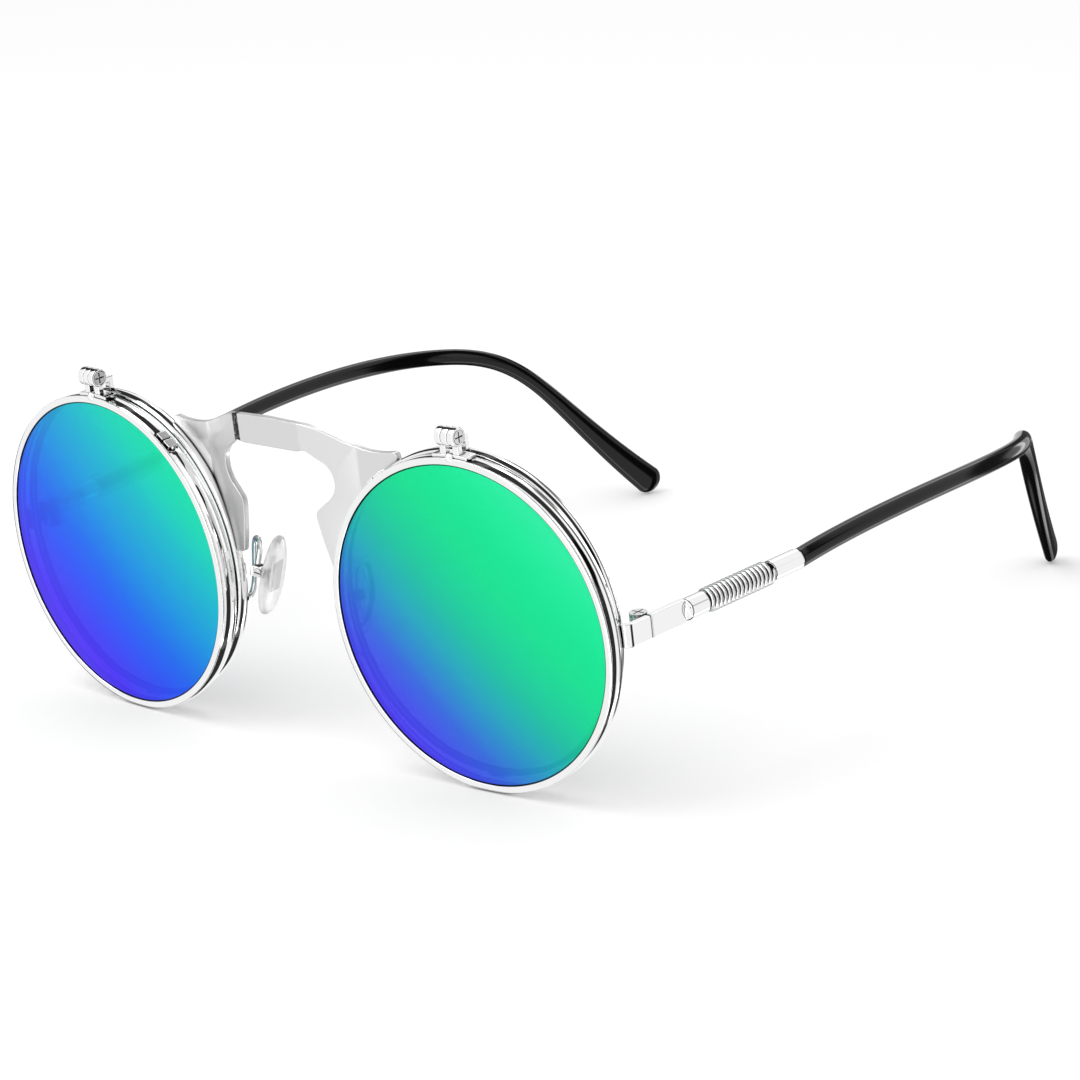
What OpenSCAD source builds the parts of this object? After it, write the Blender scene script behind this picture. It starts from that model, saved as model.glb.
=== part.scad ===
// Round sunglasses with mirrored lenses that flip up, in millimetres.
// Everything is drawn in a face frame first: X to the right of the picture, Y towards the ears
// and Z up, with the origin midway between the flip lenses, in the plane of their front edges.
// The last step tips the frame so that it stands on its rims and ear tips, as on a table.

/* [Lenses] */
// Diameter of a mirrored flip lens
lens_d = 48.6; // [44:0.2:54]
// Thickness of a flip lens
lens_t = 1.8; // [1.2:0.1:2.2]
// Thickness of a clear rear lens
rear_lens_t = 1.3; // [0.9:0.1:1.4]
// Radius of the curve that both lenses follow
lens_base_r = 230; // [150:10:400]
// How much smaller the rear lens's radius is
rear_step = 0.6; // [0.3:0.1:1.2]

/* [Rims] */
// Depth of a flip rim from front to back
flip_rim_depth = 3.1; // [2.8:0.1:4]
// Depth of a rear rim from front to back
rear_rim_depth = 1.9; // [1.9:0.1:2.6]
// How far the lips of a rim cover the lens edge
rim_lip = 0.3; // [0.2:0.05:0.5]
// Thickness of a flip rim's front lip
flip_lip_t = 0.3; // [0.25:0.05:0.5]
// Thickness of a rear rim's front lip
rear_lip_t = 0.25; // [0.2:0.05:0.4]
// Thickness of a rim outside its lens groove
rim_wall = 0.65; // [0.5:0.05:0.9]
// Depth of the decorative lines turned into a flip rim
line_depth = 0.2; // [0.1:0.05:0.3]
// Room between the flip rim and the rear rim behind it
rim_gap = 0.35; // [0.3:0.05:0.8]
// How far the flip rims stand outside the rear rims
flip_out = 1; // [0.5:0.1:1.5]
// How far the rear rims stand above the flip rims
rear_rise = 0.8; // [0.5:0.1:1.5]
// Angle by which each rim turns back at the temples
wrap_angle = 3.6; // [2:0.2:6]

/* [Closing blocks] */
// Length of the block that closes a split rim
lock_len = 3; // [2.6:0.1:3.6]
// Width of a closing block from front to back
lock_w = 1.7; // [1.4:0.1:1.8]
// Depth of the notch in the rim that holds it
lock_notch = 0.4; // [0.35:0.05:0.4]
// Height of a closing block above the rim
lock_rise = 0.4; // [0.35:0.05:0.6]
// Width of the slit in a rim under its block
slit_w = 0.24; // [0.2:0.02:0.3]
// Angle of the flip rim's block, up from the nose side
lock_angle = 53; // [40:1:60]
// Radius of a closing screw
lock_screw_r = 0.22; // [0.2:0.01:0.24]

/* [Bridge] */
// Width of the gap between the rear rims
bridge_gap = 23; // [20:0.5:27]
// Thickness of the bridge plate
bridge_t = 1; // [0.8:0.1:1.4]
// Half the width of the flat middle of the bridge
bridge_flat = 6.3; // [5:0.1:7]
// Height of the bridge over the nose
bridge_h = 4.55; // [4:0.05:5.5]
// How far the bridge stands above the rear rims
bridge_rise = 0.95; // [0.6:0.05:1.6]
// Angle by which the sides of the bridge fold back
bridge_fold = 14.5; // [10:0.5:18]
// Radius of each round side of the keyhole
keyhole_r = 3.65; // [3:0.05:3.9]

/* [Flip hinges] */
// Height of the hinge axis above the flip rim
flip_rise = 3; // [2.6:0.1:3.6]
// Distance of the hinge axis behind the lens plane
flip_back = 1; // [0.8:0.1:1.6]
// Radius of the hinge barrel
barrel_r = 1.4; // [1.2:0.05:1.6]
// Width of each of the three knuckles
barrel_w = 1.1; // [1:0.05:1.5]
// Radius of the screw that is the hinge pin
flip_pin_r = 0.6; // [0.4:0.05:0.65]
// Radius of its head
flip_head_r = 1; // [0.8:0.05:1]
// Thickness of the tab and the legs
flip_tab_t = 0.9; // [0.7:0.05:1.1]
// Width of the foot on the flip rim
foot_w = 6.2; // [5:0.1:8]
// Thickness of the foot
foot_t = 0.5; // [0.4:0.05:0.7]

/* [Endpieces] */
// Thickness of the strips
strip_t = 1; // [0.9:0.05:1.3]
// Height of the endpiece at the rim
lug_h = 3.4; // [3:0.05:4]
// Height of the temple strip
strip_h = 3.5; // [3.2:0.05:4]
// How far the endpiece stands outside the rear rim
side_out = 2.2; // [2:0.1:2.8]
// Outer radius of the endpiece's corner
corner_r = 1.2; // [0.9:0.1:1.6]
// Length of the endpiece's side from its front face to the temple
side_len = 5; // [4:0.1:6]
// Slit between the endpiece and the opened temple
split_gap = 0.12; // [0.1:0.02:0.3]

/* [Temple hinges] */
// Radius of the hinge knuckles
knuckle_r = 1.3; // [1.2:0.05:1.4]
// Height of all three knuckles together
hinge_h = 3.6; // [3.2:0.1:4]
// Radius of the hinge screw
hinge_pin_r = 0.7; // [0.5:0.05:0.75]
// Thickness of the hinge screw's head
hinge_head_t = 0.45; // [0.4:0.05:0.6]
// Length of the temple hinge's leaf
leaf_len = 4.5; // [3.5:0.1:6]

/* [Temples] */
// Angle by which the opened temples spread outwards
temple_splay = 4.2; // [2:0.2:6]
// Length of the flat strip behind the hinge
strip_len = 7; // [6.5:0.1:10]
// Diameter of the ferrule
ferrule_d = 3.2; // [3.1:0.05:3.4]
// Length of the ferrule
ferrule_len = 4.3; // [3:0.1:5]
// Outer diameter of the spring
spring_d = 3.7; // [3.4:0.05:4]
// Diameter of the spring's wire
spring_wire = 0.4; // [0.3:0.02:0.4]
// Number of curls
spring_curls = 15; // [8:1:17]
// Length taken by each curl
spring_pitch = 0.84; // [0.84:0.02:1.1]
// Diameter of the rod through the spring
rod_d = 1.9; // [1.5:0.05:2]
// Diameter of the collar behind the spring
collar_d = 3.2; // [3.1:0.05:3.4]
// Length of the collar
collar_len = 6; // [5:0.1:9]
// Diameter of the sleeve where it starts
sleeve_d = 2.9; // [2.6:0.05:3.3]
// Diameter of the sleeve at the bend
bend_d = 2.75; // [2.5:0.05:3.2]
// Width of the sleeve's flat tip
tip_w = 5; // [4:0.1:6]
// Thickness of the flat tip
tip_t = 2.4; // [2.2:0.1:3]
// Radius of the wire inside the sleeve
core_r = 0.65; // [0.5:0.05:0.8]
// Length from the collar to the start of the bend
straight_len = 60; // [52:0.5:68]
// How far the bend starts inside the line of the strip
bend_in = 8.4; // [6:0.1:11]
// Length from the start of the bend to the tip, along the temple
hook_len = 28.6; // [26:0.2:32]
// How far the tip lies inside the start of the bend
hook_in = 19.7; // [17:0.1:22]
// How far the tip drops below the start of the bend
hook_drop = 31; // [28:0.2:34]

/* [Nose pads] */
// Length of a nose pad
pad_len = 12.5; // [11:0.1:15]
// Width of a nose pad
pad_w = 7; // [6:0.1:8]
// Thickness of a nose pad
pad_t = 2.2; // [2:0.1:2.3]
// Diameter of the wire that carries the pad
arm_d = 0.85; // [0.7:0.05:0.9]
// Height of the wire's loop above the pad's box
arm_loop = 3.6; // [3:0.1:4.5]
// Distance from the pad's middle to its pin
pad_reach = 2; // [2:0.1:2.6]
// Radius of the pad's pin
pad_pin_r = 0.3; // [0.25:0.05:0.35]

/* [Fits] */
// Clearance of a pin or screw that turns in its bore
running_fit = 0.05; // [0.03:0.01:0.08]
// Room between knuckles that turn against each other
side_fit = 0.06; // [0.04:0.01:0.1]
// Clearance of parts that are brazed, pressed or glued together
seat_fit = 0.02; // [0.01:0.01:0.03]
// Clearance round a lens in its groove
lens_fit = 0.05; // [0.03:0.01:0.08]

/* [Hidden] */

// Smoothness of rims, of small round parts and of arcs in outlines
rim_fn = 128;
small_fn = 40;
arc_steps = 8;

// Rims: radii, and where the rear rims stand
flip_lens_r = lens_d / 2;
rear_lens_r = flip_lens_r - rear_step;
flip_r = flip_lens_r + lens_fit + rim_wall;
rear_r = rear_lens_r + lens_fit + rim_wall;
rear_x = bridge_gap / 2 + rear_r;
flip_x = rear_x + flip_out;
rear_y = (flip_rim_depth + rim_gap) * cos(wrap_angle) - flip_out * sin(wrap_angle);
nose_x = bridge_gap / 2;
nose_y = rear_y - rear_r * sin(wrap_angle);
ear_x = rear_x + rear_r * cos(wrap_angle);
ear_y = rear_y + rear_r * sin(wrap_angle);
rear_top = rear_rise + rear_r;

// Flip hinge: its height above the middle of the lens and half the length of its barrel
flip_axis_z = flip_r + flip_rise;
barrel_half = 1.5 * barrel_w + side_fit;

// Temple hinge, in the face frame, and the line of the strips beside it
leaf_room = 0.1;
hinge_x = ear_x + side_out - strip_t - leaf_room - knuckle_r;
hinge_y = ear_y + side_len + split_gap / 2 + 0.1;
shaft_z = 0.8;
hinge_mid = shaft_z - 0.45;
strip_in = knuckle_r + leaf_room;
shaft_x = strip_in + strip_t / 2;
knuckle_h = (hinge_h - 2 * side_fit) / 3;
hinge_low = hinge_mid - hinge_h / 2;
lug_rise = 0.15;

// Temple: each piece starts where the one before it ends
ferrule_lap = 0.5;
ferrule_start = strip_len - ferrule_lap;
spring_start = ferrule_start + ferrule_len;
spring_end_run = 0.45;
spring_len = spring_curls * spring_pitch + 2 * spring_end_run;
collar_start = spring_start + spring_len;
sleeve_start = collar_start + collar_len;

// Sleeve: two curves meet at the start of the bend, and their handles set how tight it is
sleeve_sides = 20;
core_sides = 12;
handle_start = [0, 21.2, 2.4];
handle_bend = [9, -11, 2.2];
bend_drop = 1.96;
handle_reach = 15;
handle_tip = [9.85, -15.84, 19.05];
sleeve_lead = 0.7;
straight_steps = 10;
hook_steps = 22;
core_share = 0.82;
cap_len = 2.2;
sleeve_mouth = [shaft_x, sleeve_start, shaft_z];
curve_start = sleeve_mouth + [0, sleeve_lead, 0];
curve_bend = curve_start + [-bend_in, straight_len, -bend_drop];
curve_tip = curve_bend + [-hook_in, hook_len, -hook_drop];

// Nose pads: the middle of a pad, the turns that lean it, and its pin
pad_mid = [nose_x - 2.8, nose_y + 4.3, rear_rise - 2];
pad_turn_back = -9;
pad_turn_in = -13;
pad_turn_splay = -18;
pad_sides = 16;
pad_rings = 12;
box_r = 0.8;
lug_r = 0.65;
lug_w = 1.2;
cheek_t = 0.4;

function unit(v) = v / norm(v);
function arc(c, r, a0, a1, n = arc_steps) =
    [for (i = [0 : n]) let (a = a0 + (a1 - a0) * i / n) c + r * [cos(a), sin(a)]];
function curve(a, b, c, d, t) =
    a * pow(1 - t, 3) + 3 * b * t * pow(1 - t, 2) + 3 * c * t * t * (1 - t) + d * pow(t, 3);

// Height of the lens curve above its edge, at a radius
function sag(r) = lens_base_r - sqrt(lens_base_r * lens_base_r - r * r);

// Rings of points carried along a path. Each ring has half sizes across and upright, and is
// turned by a guide direction that the path never runs along.
function path_dir(path, i) = unit(path[min(i + 1, len(path) - 1)] - path[max(i - 1, 0)]);
function ring_points(path, guides, across, upright, sides) = [
    for (i = [0 : len(path) - 1])
        let (t = path_dir(path, i))
        let (n = unit(cross(t, guides[i])))
        let (b = cross(t, n))
        for (j = [0 : sides - 1])
            path[i] + n * across[i] * cos(360 * j / sides) + b * upright[i] * sin(360 * j / sides)
];
function tube_faces(rings, sides) = concat(
    [for (j = [1 : sides - 2]) [0, j, j + 1]],
    [for (i = [0 : rings - 2]) for (j = [0 : sides - 1])
        [i * sides + j, (i + 1) * sides + j, (i + 1) * sides + (j + 1) % sides]],
    [for (i = [0 : rings - 2]) for (j = [0 : sides - 1])
        [i * sides + j, (i + 1) * sides + (j + 1) % sides, i * sides + (j + 1) % sides]],
    [for (j = [1 : sides - 2]) let (k = (rings - 1) * sides) [k, k + j + 1, k + j]]
);
module tube(path, guides, across, upright, sides) {
    polyhedron(ring_points(path, guides, across, upright, sides), tube_faces(len(path), sides));
}

// Middle line of the sleeve, from the collar to the share of the hook that is asked for
function straight_part() = [
    for (i = [0 : straight_steps])
        curve(curve_start, curve_start + handle_start, curve_bend + handle_bend, curve_bend,
            i / straight_steps)
];
function hook_part(share) = [
    for (i = [1 : hook_steps])
        if (i / hook_steps <= share)
            curve(curve_bend, curve_bend - unit(handle_bend) * handle_reach,
                curve_tip + handle_tip, curve_tip, i / hook_steps)
];

// The sleeve thins to the bend, then widens into the flat tip and ends round
cap_turns = [0, 25, 45, 62, 78];
tip_dir = unit(-handle_tip);
cap_mid = curve_tip - tip_dir * cap_len;
hook_kept = [for (p = hook_part(1)) if ((cap_mid - p) * tip_dir > 0.5) p];
sleeve_path = concat([sleeve_mouth + [0, seat_fit, 0]], straight_part(), hook_kept,
    [for (a = cap_turns) cap_mid + tip_dir * cap_len * sin(a)]);
cap_first = len(sleeve_path) - len(cap_turns);
bend_first = straight_steps + 1;
function swell(i) = let (u = (i - bend_first) / (cap_first - bend_first))
    i <= bend_first ? 0 : pow(max(0, (u - 0.45) / 0.55), 1.6);
function thin(i) = min(1, i / (bend_first + 8));
function cap_scale(i) = i < cap_first ? 1 : cos(cap_turns[i - cap_first]);
function round_d(i) = sleeve_d + (bend_d - sleeve_d) * thin(i);
sleeve_across = [for (i = [0 : len(sleeve_path) - 1]) let (s = swell(min(i, cap_first)))
    cap_scale(i) * (round_d(i) * (1 - s) + tip_t * s) / 2];
sleeve_upright = [for (i = [0 : len(sleeve_path) - 1]) let (s = swell(min(i, cap_first)))
    cap_scale(i) * (round_d(i) * (1 - s) + tip_w * s) / 2];
function same(v, path) = [for (p = path) v];
up = [0, 0, 1];
sleeve_points = ring_points(sleeve_path, same(up, sleeve_path), sleeve_across, sleeve_upright,
    sleeve_sides);

// Standing: the frame tips about the rims' lowest edge until the tips reach the table
rim_edge = [flip_lip_t, -flip_r];
function to_face(p) = [p.x * cos(temple_splay) + p.y * sin(temple_splay) + hinge_x,
    p.y * cos(temple_splay) - p.x * sin(temple_splay) + hinge_y, p.z];
sleeve_face = [for (p = sleeve_points) to_face(p)];
tilt = max([for (p = sleeve_face) atan2(rim_edge.y - p.z, p.y - rim_edge.x)]);
lift = -(rim_edge.y * cos(tilt) + rim_edge.x * sin(tilt));
function tipped_y(p) = p.y * cos(tilt) - p.z * sin(tilt);
barrel_front = tipped_y([0, flip_back * cos(wrap_angle) - barrel_half * sin(wrap_angle),
    flip_axis_z]) - barrel_r;
tips_back = max([for (p = sleeve_face) tipped_y(p)]);
mid_y = (barrel_front + tips_back) / 2;

// Places: the whole frame, one side, a rim's own frame, and a spot on a rim's edge
module side(s) {
    translate([0, -mid_y, lift])
    rotate([tilt, 0, 0])
    mirror([s < 0 ? 1 : 0, 0, 0])
    children();
}
module at_flip() {
    translate([flip_x, 0, 0])
    rotate([0, 0, wrap_angle])
    children();
}
module at_rear() {
    translate([rear_x, rear_y, rear_rise])
    rotate([0, 0, wrap_angle])
    children();
}
// X points outwards, Y to the back and Z along the rim
module at_edge(r, a) {
    rotate([0, -a, 0])
    translate([r, 0, 0])
    children();
}
module at_temple() {
    translate([hinge_x, hinge_y, 0])
    rotate([0, 0, -temple_splay])
    children();
}
module at_pad() {
    translate(pad_mid)
    rotate([pad_turn_back, 0, 0])
    rotate([0, pad_turn_in, 0])
    rotate([0, 0, pad_turn_splay])
    children();
}
// A round bar along X, and a solid turned about Y
module bar_x(r, x0, x1, fn = small_fn) {
    translate([x0, 0, 0])
    rotate([0, 90, 0])
    cylinder(r = r, h = x1 - x0, $fn = fn);
}
module turned(fn = rim_fn) {
    rotate([-90, 0, 0])
    rotate_extrude($fn = fn)
    children();
}
module rod_y(r, y0, y1, fn = small_fn) {
    translate([0, y0, 0])
    rotate([-90, 0, 0])
    cylinder(r = r, h = y1 - y0, $fn = fn);
}

// A rim: lips hold the lens in a groove, and lines run round the outside
module rim_ring(outer_r, lens_r, depth, lip_t, lens_thick, lines) {
    in_r = lens_r - rim_lip;
    groove_r = lens_r + lens_fit;
    groove_end = lip_t + lens_thick + 2 * lens_fit;
    edge = 0.3;
    marks = [for (m = lines) each [[outer_r, m[0]], [outer_r - line_depth, m[0]],
        [outer_r - line_depth, m[1]], [outer_r, m[1]]]];
    turned()
    polygon(concat(
        [[in_r, 0], [outer_r - edge, 0], [outer_r, edge]],
        marks,
        [[outer_r, depth - edge / 2], [outer_r - edge / 2, depth], [in_r, depth]],
        [[in_r, groove_end], [groove_r, groove_end], [groove_r, lip_t], [in_r, lip_t]]
    ));
}
module lens(r, thick, lip_t) {
    steps = 14;
    edge_y = lip_t + lens_fit - sag(r);
    turned()
    polygon(concat(
        [for (i = [0 : steps]) let (x = r * i / steps) [x, edge_y + sag(x)]],
        [for (i = [steps : -1 : 0]) let (x = r * i / steps) [x, edge_y + sag(x) + thick]]
    ));
}
module slit(r, a, depth) {
    at_edge(r, a)
    translate([-2, -1, -slit_w / 2])
    cube([5, depth + 2, slit_w]);
}

// Closing block: two halves in a notch of a split rim, drawn together by a screw whose head
// lies in the same notch
lock_head_r = lock_notch - 2 * seat_fit;
lock_head_t = 0.4;
lock_axis = -seat_fit;
module lock_room(r, a, y) {
    at_edge(r, a)
    translate([-lock_notch, y - lock_w / 2, -lock_len / 2])
    cube([2, lock_w, lock_len + lock_head_t + seat_fit]);
}
module lock_halves(r, a, y) {
    difference() {
        at_edge(r, a)
        translate([seat_fit - lock_notch, y - lock_w / 2 + seat_fit, seat_fit - lock_len / 2])
        cube([lock_notch + lock_rise - seat_fit, lock_w - 2 * seat_fit, lock_len - seat_fit]);
        slit(r, a, 8);
        at_edge(r, a)
        translate([lock_axis, y, -lock_len])
        cylinder(r = lock_screw_r + seat_fit, h = 2 * lock_len, $fn = small_fn);
    }
}
module lock_screw(r, a, y) {
    slot_w = 0.2;
    at_edge(r, a)
    translate([lock_axis, y, 0])
    difference() {
        union() {
            translate([0, 0, seat_fit - lock_len / 2])
            cylinder(r = lock_screw_r, h = lock_len - seat_fit, $fn = small_fn);
            translate([0, 0, lock_len / 2])
            cylinder(r = lock_head_r, h = lock_head_t, $fn = small_fn);
        }
        translate([-lock_head_r, -slot_w / 2, lock_len / 2 + lock_head_t / 2])
        cube([2 * lock_head_r, slot_w, lock_head_t]);
    }
}
flip_lock_a = 180 - lock_angle;
flip_lock_y = 1.6;
rear_lock_a = -90;
rear_lock_y = rear_rim_depth / 2;

// Lines round a flip rim, by their distance from its front
flip_lines = [[0.45, 0.65], [1.75, 1.9]];

module flip_rim(s) {
    color("gainsboro") side(s) at_flip()
    difference() {
        rim_ring(flip_r, flip_lens_r, flip_rim_depth, flip_lip_t, lens_t, flip_lines);
        slit(flip_r, flip_lock_a, flip_rim_depth);
        lock_room(flip_r, flip_lock_a, flip_lock_y);
    }
}
module flip_lens(s) {
    color([0.05, 0.75, 0.6]) side(s) at_flip()
    lens(flip_lens_r, lens_t, flip_lip_t);
}
module flip_lock(s) {
    color("silver") side(s) at_flip()
    lock_halves(flip_r, flip_lock_a, flip_lock_y);
}
module flip_lock_screw(s) {
    color("darkgray") side(s) at_flip()
    lock_screw(flip_r, flip_lock_a, flip_lock_y);
}
module rear_rim(s) {
    color("lightgray") side(s) at_rear()
    difference() {
        rim_ring(rear_r, rear_lens_r, rear_rim_depth, rear_lip_t, rear_lens_t, []);
        slit(rear_r, rear_lock_a, rear_rim_depth);
        lock_room(rear_r, rear_lock_a, rear_lock_y);
    }
}
module rear_lens(s) {
    color([0.85, 0.92, 0.95, 0.5]) side(s) at_rear()
    lens(rear_lens_r, rear_lens_t, rear_lip_t);
}
module rear_lock(s) {
    color("silver") side(s) at_rear()
    lock_halves(rear_r, rear_lock_a, rear_lock_y);
}
module rear_lock_screw(s) {
    color("darkgray") side(s) at_rear()
    lock_screw(rear_r, rear_lock_a, rear_lock_y);
}

// Flip hinge: two legs on the flip rim hold the outer knuckles and the screw, and a bracket
// on the rear rim carries the middle knuckle. Both screw heads face the picture's right.
module at_flip_axis() {
    at_flip()
    translate([0, flip_back, flip_axis_z])
    children();
}
head_recess = 0.5;
knuckle_step = barrel_w + side_fit;
module flip_bracket(s) {
    tab_drop = 0.65;
    drop = flip_axis_z - rear_top;
    back = flip_rim_depth + rim_gap + 0.95 - flip_back;
    color("silver") side(s)
    difference() {
        at_flip_axis()
        difference() {
            union() {
                bar_x(barrel_r, -barrel_w / 2, barrel_w / 2);
                translate([-barrel_w / 2, 0, -flip_tab_t - tab_drop])
                cube([barrel_w, back, flip_tab_t]);
                translate([-barrel_w / 2, back - flip_tab_t, -drop - 1])
                cube([barrel_w, flip_tab_t, drop + 1 - tab_drop]);
            }
            bar_x(flip_pin_r + running_fit, -barrel_w, barrel_w);
        }
        at_rear()
        rod_y(rear_r + seat_fit, -10, 20, rim_fn);
    }
}
module cross_slot(r, depth) {
    slot_w = 0.22;
    for (a = [0, 90])
        rotate([a, 0, 0])
        translate([-depth, -r * 0.8, -slot_w / 2])
        cube([2 * depth, r * 1.6, slot_w]);
}
module flip_screw(s) {
    color("darkgray") side(s) at_flip_axis()
    mirror([s < 0 ? 1 : 0, 0, 0])
    difference() {
        union() {
            bar_x(flip_pin_r, -barrel_half, barrel_half - 0.1);
            bar_x(flip_head_r, barrel_half - head_recess + seat_fit, barrel_half);
        }
        translate([barrel_half, 0, 0])
        cross_slot(flip_head_r, 0.25);
    }
}
module flip_foot() {
    foot_front = 0.4;
    foot_depth = 2.2;
    dome_r = 0.75;
    intersection() {
        rod_y(flip_r + foot_t, foot_front, foot_front + foot_depth, rim_fn);
        translate([-foot_w / 2, 0, 0])
        cube([foot_w, flip_rim_depth, flip_r + 1]);
    }
    translate([0.1, foot_front + 0.1, flip_r])
    sphere(r = dome_r, $fn = small_fn);
}
module flip_knuckle(s) {
    color("silver") side(s)
    difference() {
        union() {
            at_flip_axis()
            difference() {
                for (k = [-1, 1])
                    translate([k * knuckle_step, 0, 0])
                    union() {
                        bar_x(barrel_r, -barrel_w / 2, barrel_w / 2);
                        translate([-barrel_w / 2, -flip_tab_t / 2, -flip_rise])
                        cube([barrel_w, flip_tab_t, flip_rise]);
                    }
                bar_x(flip_pin_r + seat_fit, -barrel_half - 1, barrel_half + 1);
                mirror([s < 0 ? 1 : 0, 0, 0])
                bar_x(flip_head_r + seat_fit, barrel_half - head_recess, barrel_half + 1);
            }
            at_flip()
            flip_foot();
        }
        at_flip()
        rod_y(flip_r + seat_fit, -10, 20, rim_fn);
    }
}

// Bridge: a plate folded back on each side, cut to its outline and to the rear rims
fold_r = 2;
bend_out = nose_x + 4;
bridge_y = nose_y + 0.5 - (nose_x - bridge_flat) * tan(bridge_fold);
function bridge_line(shift) = let (r = fold_r - shift)
    let (run = fold_r * tan(bridge_fold / 2))
    let (x0 = bridge_flat - run)
    let (lead = shift * tan((bridge_fold + wrap_angle) / 2))
    let (y1 = bridge_y + (bend_out - bridge_flat) * tan(bridge_fold))
    concat(
        [[0, bridge_y + shift]],
        [for (a = [0 : bridge_fold / 4 : bridge_fold])
            [x0 + r * sin(a), bridge_y + fold_r - r * cos(a)]],
        [[bend_out - lead, y1 + shift * cos(wrap_angle)]],
        [[bend_out + 20, y1 + 20 * tan(wrap_angle) + shift]]
    );
module bridge_band() {
    front = bridge_line(0);
    back = bridge_line(bridge_t);
    for (m = [0, 1])
        mirror([m, 0, 0])
        translate([0, 0, -5])
        linear_extrude(height = 60)
        polygon(concat(front, [for (i = [len(back) - 1 : -1 : 0]) back[i]]));
}
module bridge_outline() {
    top = rear_top;
    key = [nose_x - 3.9, top - 8];
    under = top + bridge_rise - bridge_h;
    shoulder = [bridge_flat, top + bridge_rise - 0.2];
    dip = [nose_x + 5.5, top - 2.6];
    end = [nose_x + 11, top - 2.35];
    half = concat(
        [[0, top + bridge_rise]],
        [for (t = [0 : 0.1 : 1])
            curve(shoulder, shoulder + [3.6, -0.25], dip + [-4, 0.6], dip, t)],
        [for (t = [0.2 : 0.2 : 0.8])
            curve(dip, dip + [2, -0.2], end + [-2, -0.4], end, t)],
        arc(end + [0, -0.6], 0.6, 95, -20, 5),
        [[nose_x + 11.7, top - 5.8], [nose_x + 5, top - 11.8], [nose_x + 3, top - 21.6]],
        arc([nose_x - 1.2, top - 20.4], 1.2, 270, 190, 4),
        [[nose_x - 3.3, top - 17], [nose_x - 3.9, top - 13.8]],
        arc([nose_x - 3.3, top - 12.95], 0.6, 180, 115, 3),
        arc(key, keyhole_r, -60, 68, 12),
        [[nose_x - 4.6, under + 0.35], [nose_x - 6, under], [0, under]]
    );
    polygon(half);
}
module bridge() {
    color("silver") side(1)
    difference() {
        intersection() {
            bridge_band();
            union() {
                for (m = [0, 1])
                    mirror([m, 0, 0])
                    translate([0, 30, 0])
                    rotate([90, 0, 0])
                    linear_extrude(height = 60)
                    bridge_outline();
            }
        }
        for (m = [0, 1])
            mirror([m, 0, 0])
            at_rear()
            rod_y(rear_r + seat_fit, -20, 20, rim_fn);
    }
}

// Endpiece: a strip from the rear rim, bent back round a corner to the temple
module endpiece_plan() {
    out = hinge_x + strip_in + strip_t;
    front = ear_y;
    back = front + side_len;
    polygon(concat(
        [[ear_x - 3, front], [out - corner_r, front]],
        arc([out - corner_r, front + corner_r], corner_r, -90, 0),
        [[out, back], [out - strip_t, back], [out - strip_t, front + strip_t + 0.3]],
        [[out - strip_t - 0.3, front + strip_t], [ear_x - 3, front + strip_t]]
    ));
}
module endpiece_side() {
    low = shaft_z - strip_h / 2;
    lug_low = low + lug_rise;
    back = ear_y + side_len;
    round_r = 0.3;
    polygon(concat(
        [[ear_y - 1, lug_low], [ear_y - 1, lug_low + lug_h], [ear_y + corner_r, lug_low + lug_h]],
        [[back, low + strip_h - 0.1]],
        arc([back - round_r, low + round_r], round_r, 0, -90, 4)
    ));
}
module endpiece(s) {
    color("gainsboro") side(s)
    difference() {
        intersection() {
            translate([0, 0, -10])
            linear_extrude(height = 20)
            endpiece_plan();
            rotate([90, 0, 90])
            linear_extrude(height = 100)
            endpiece_side();
        }
        at_rear()
        rod_y(rear_r + seat_fit, -20, 20, rim_fn);
    }
}

// Temple hinge: two knuckles on the endpiece, one on the temple, and a screw through them
module upright(r, z0, z1, fn = small_fn) {
    translate([0, 0, z0])
    cylinder(r = r, h = z1 - z0, $fn = fn);
}
module front_hinge(s) {
    color("silver") side(s)
    translate([hinge_x, hinge_y, 0])
    difference() {
        for (z = [hinge_low, hinge_low + 2 * (knuckle_h + side_fit)])
            union() {
                upright(knuckle_r, z, z + knuckle_h);
                translate([0, -knuckle_r, z])
                cube([strip_in - seat_fit, knuckle_r - 0.1, knuckle_h]);
            }
        upright(hinge_pin_r + running_fit, hinge_low - 1, hinge_low + hinge_h + 1);
    }
}
module hinge_screw(s) {
    top = hinge_low + hinge_h;
    color("darkgray") side(s)
    translate([hinge_x, hinge_y, 0])
    difference() {
        union() {
            upright(hinge_pin_r, hinge_low, top);
            upright(knuckle_r, top, top + hinge_head_t);
        }
        translate([0, 0, top + hinge_head_t])
        rotate([0, -90, 0])
        cross_slot(knuckle_r, 0.25);
    }
}
module temple_hinge(s) {
    low = hinge_low + knuckle_h + side_fit;
    leaf_t = 0.7;
    color("silver") side(s) at_temple()
    difference() {
        union() {
            upright(knuckle_r, low, low + knuckle_h);
            translate([0, 0.1, low])
            cube([strip_in - seat_fit, knuckle_r, knuckle_h]);
            translate([strip_in - seat_fit - leaf_t, knuckle_r - 0.2, low])
            cube([leaf_t, leaf_len, knuckle_h]);
        }
        upright(hinge_pin_r + running_fit, low - 1, low + knuckle_h + 1);
    }
}

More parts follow.
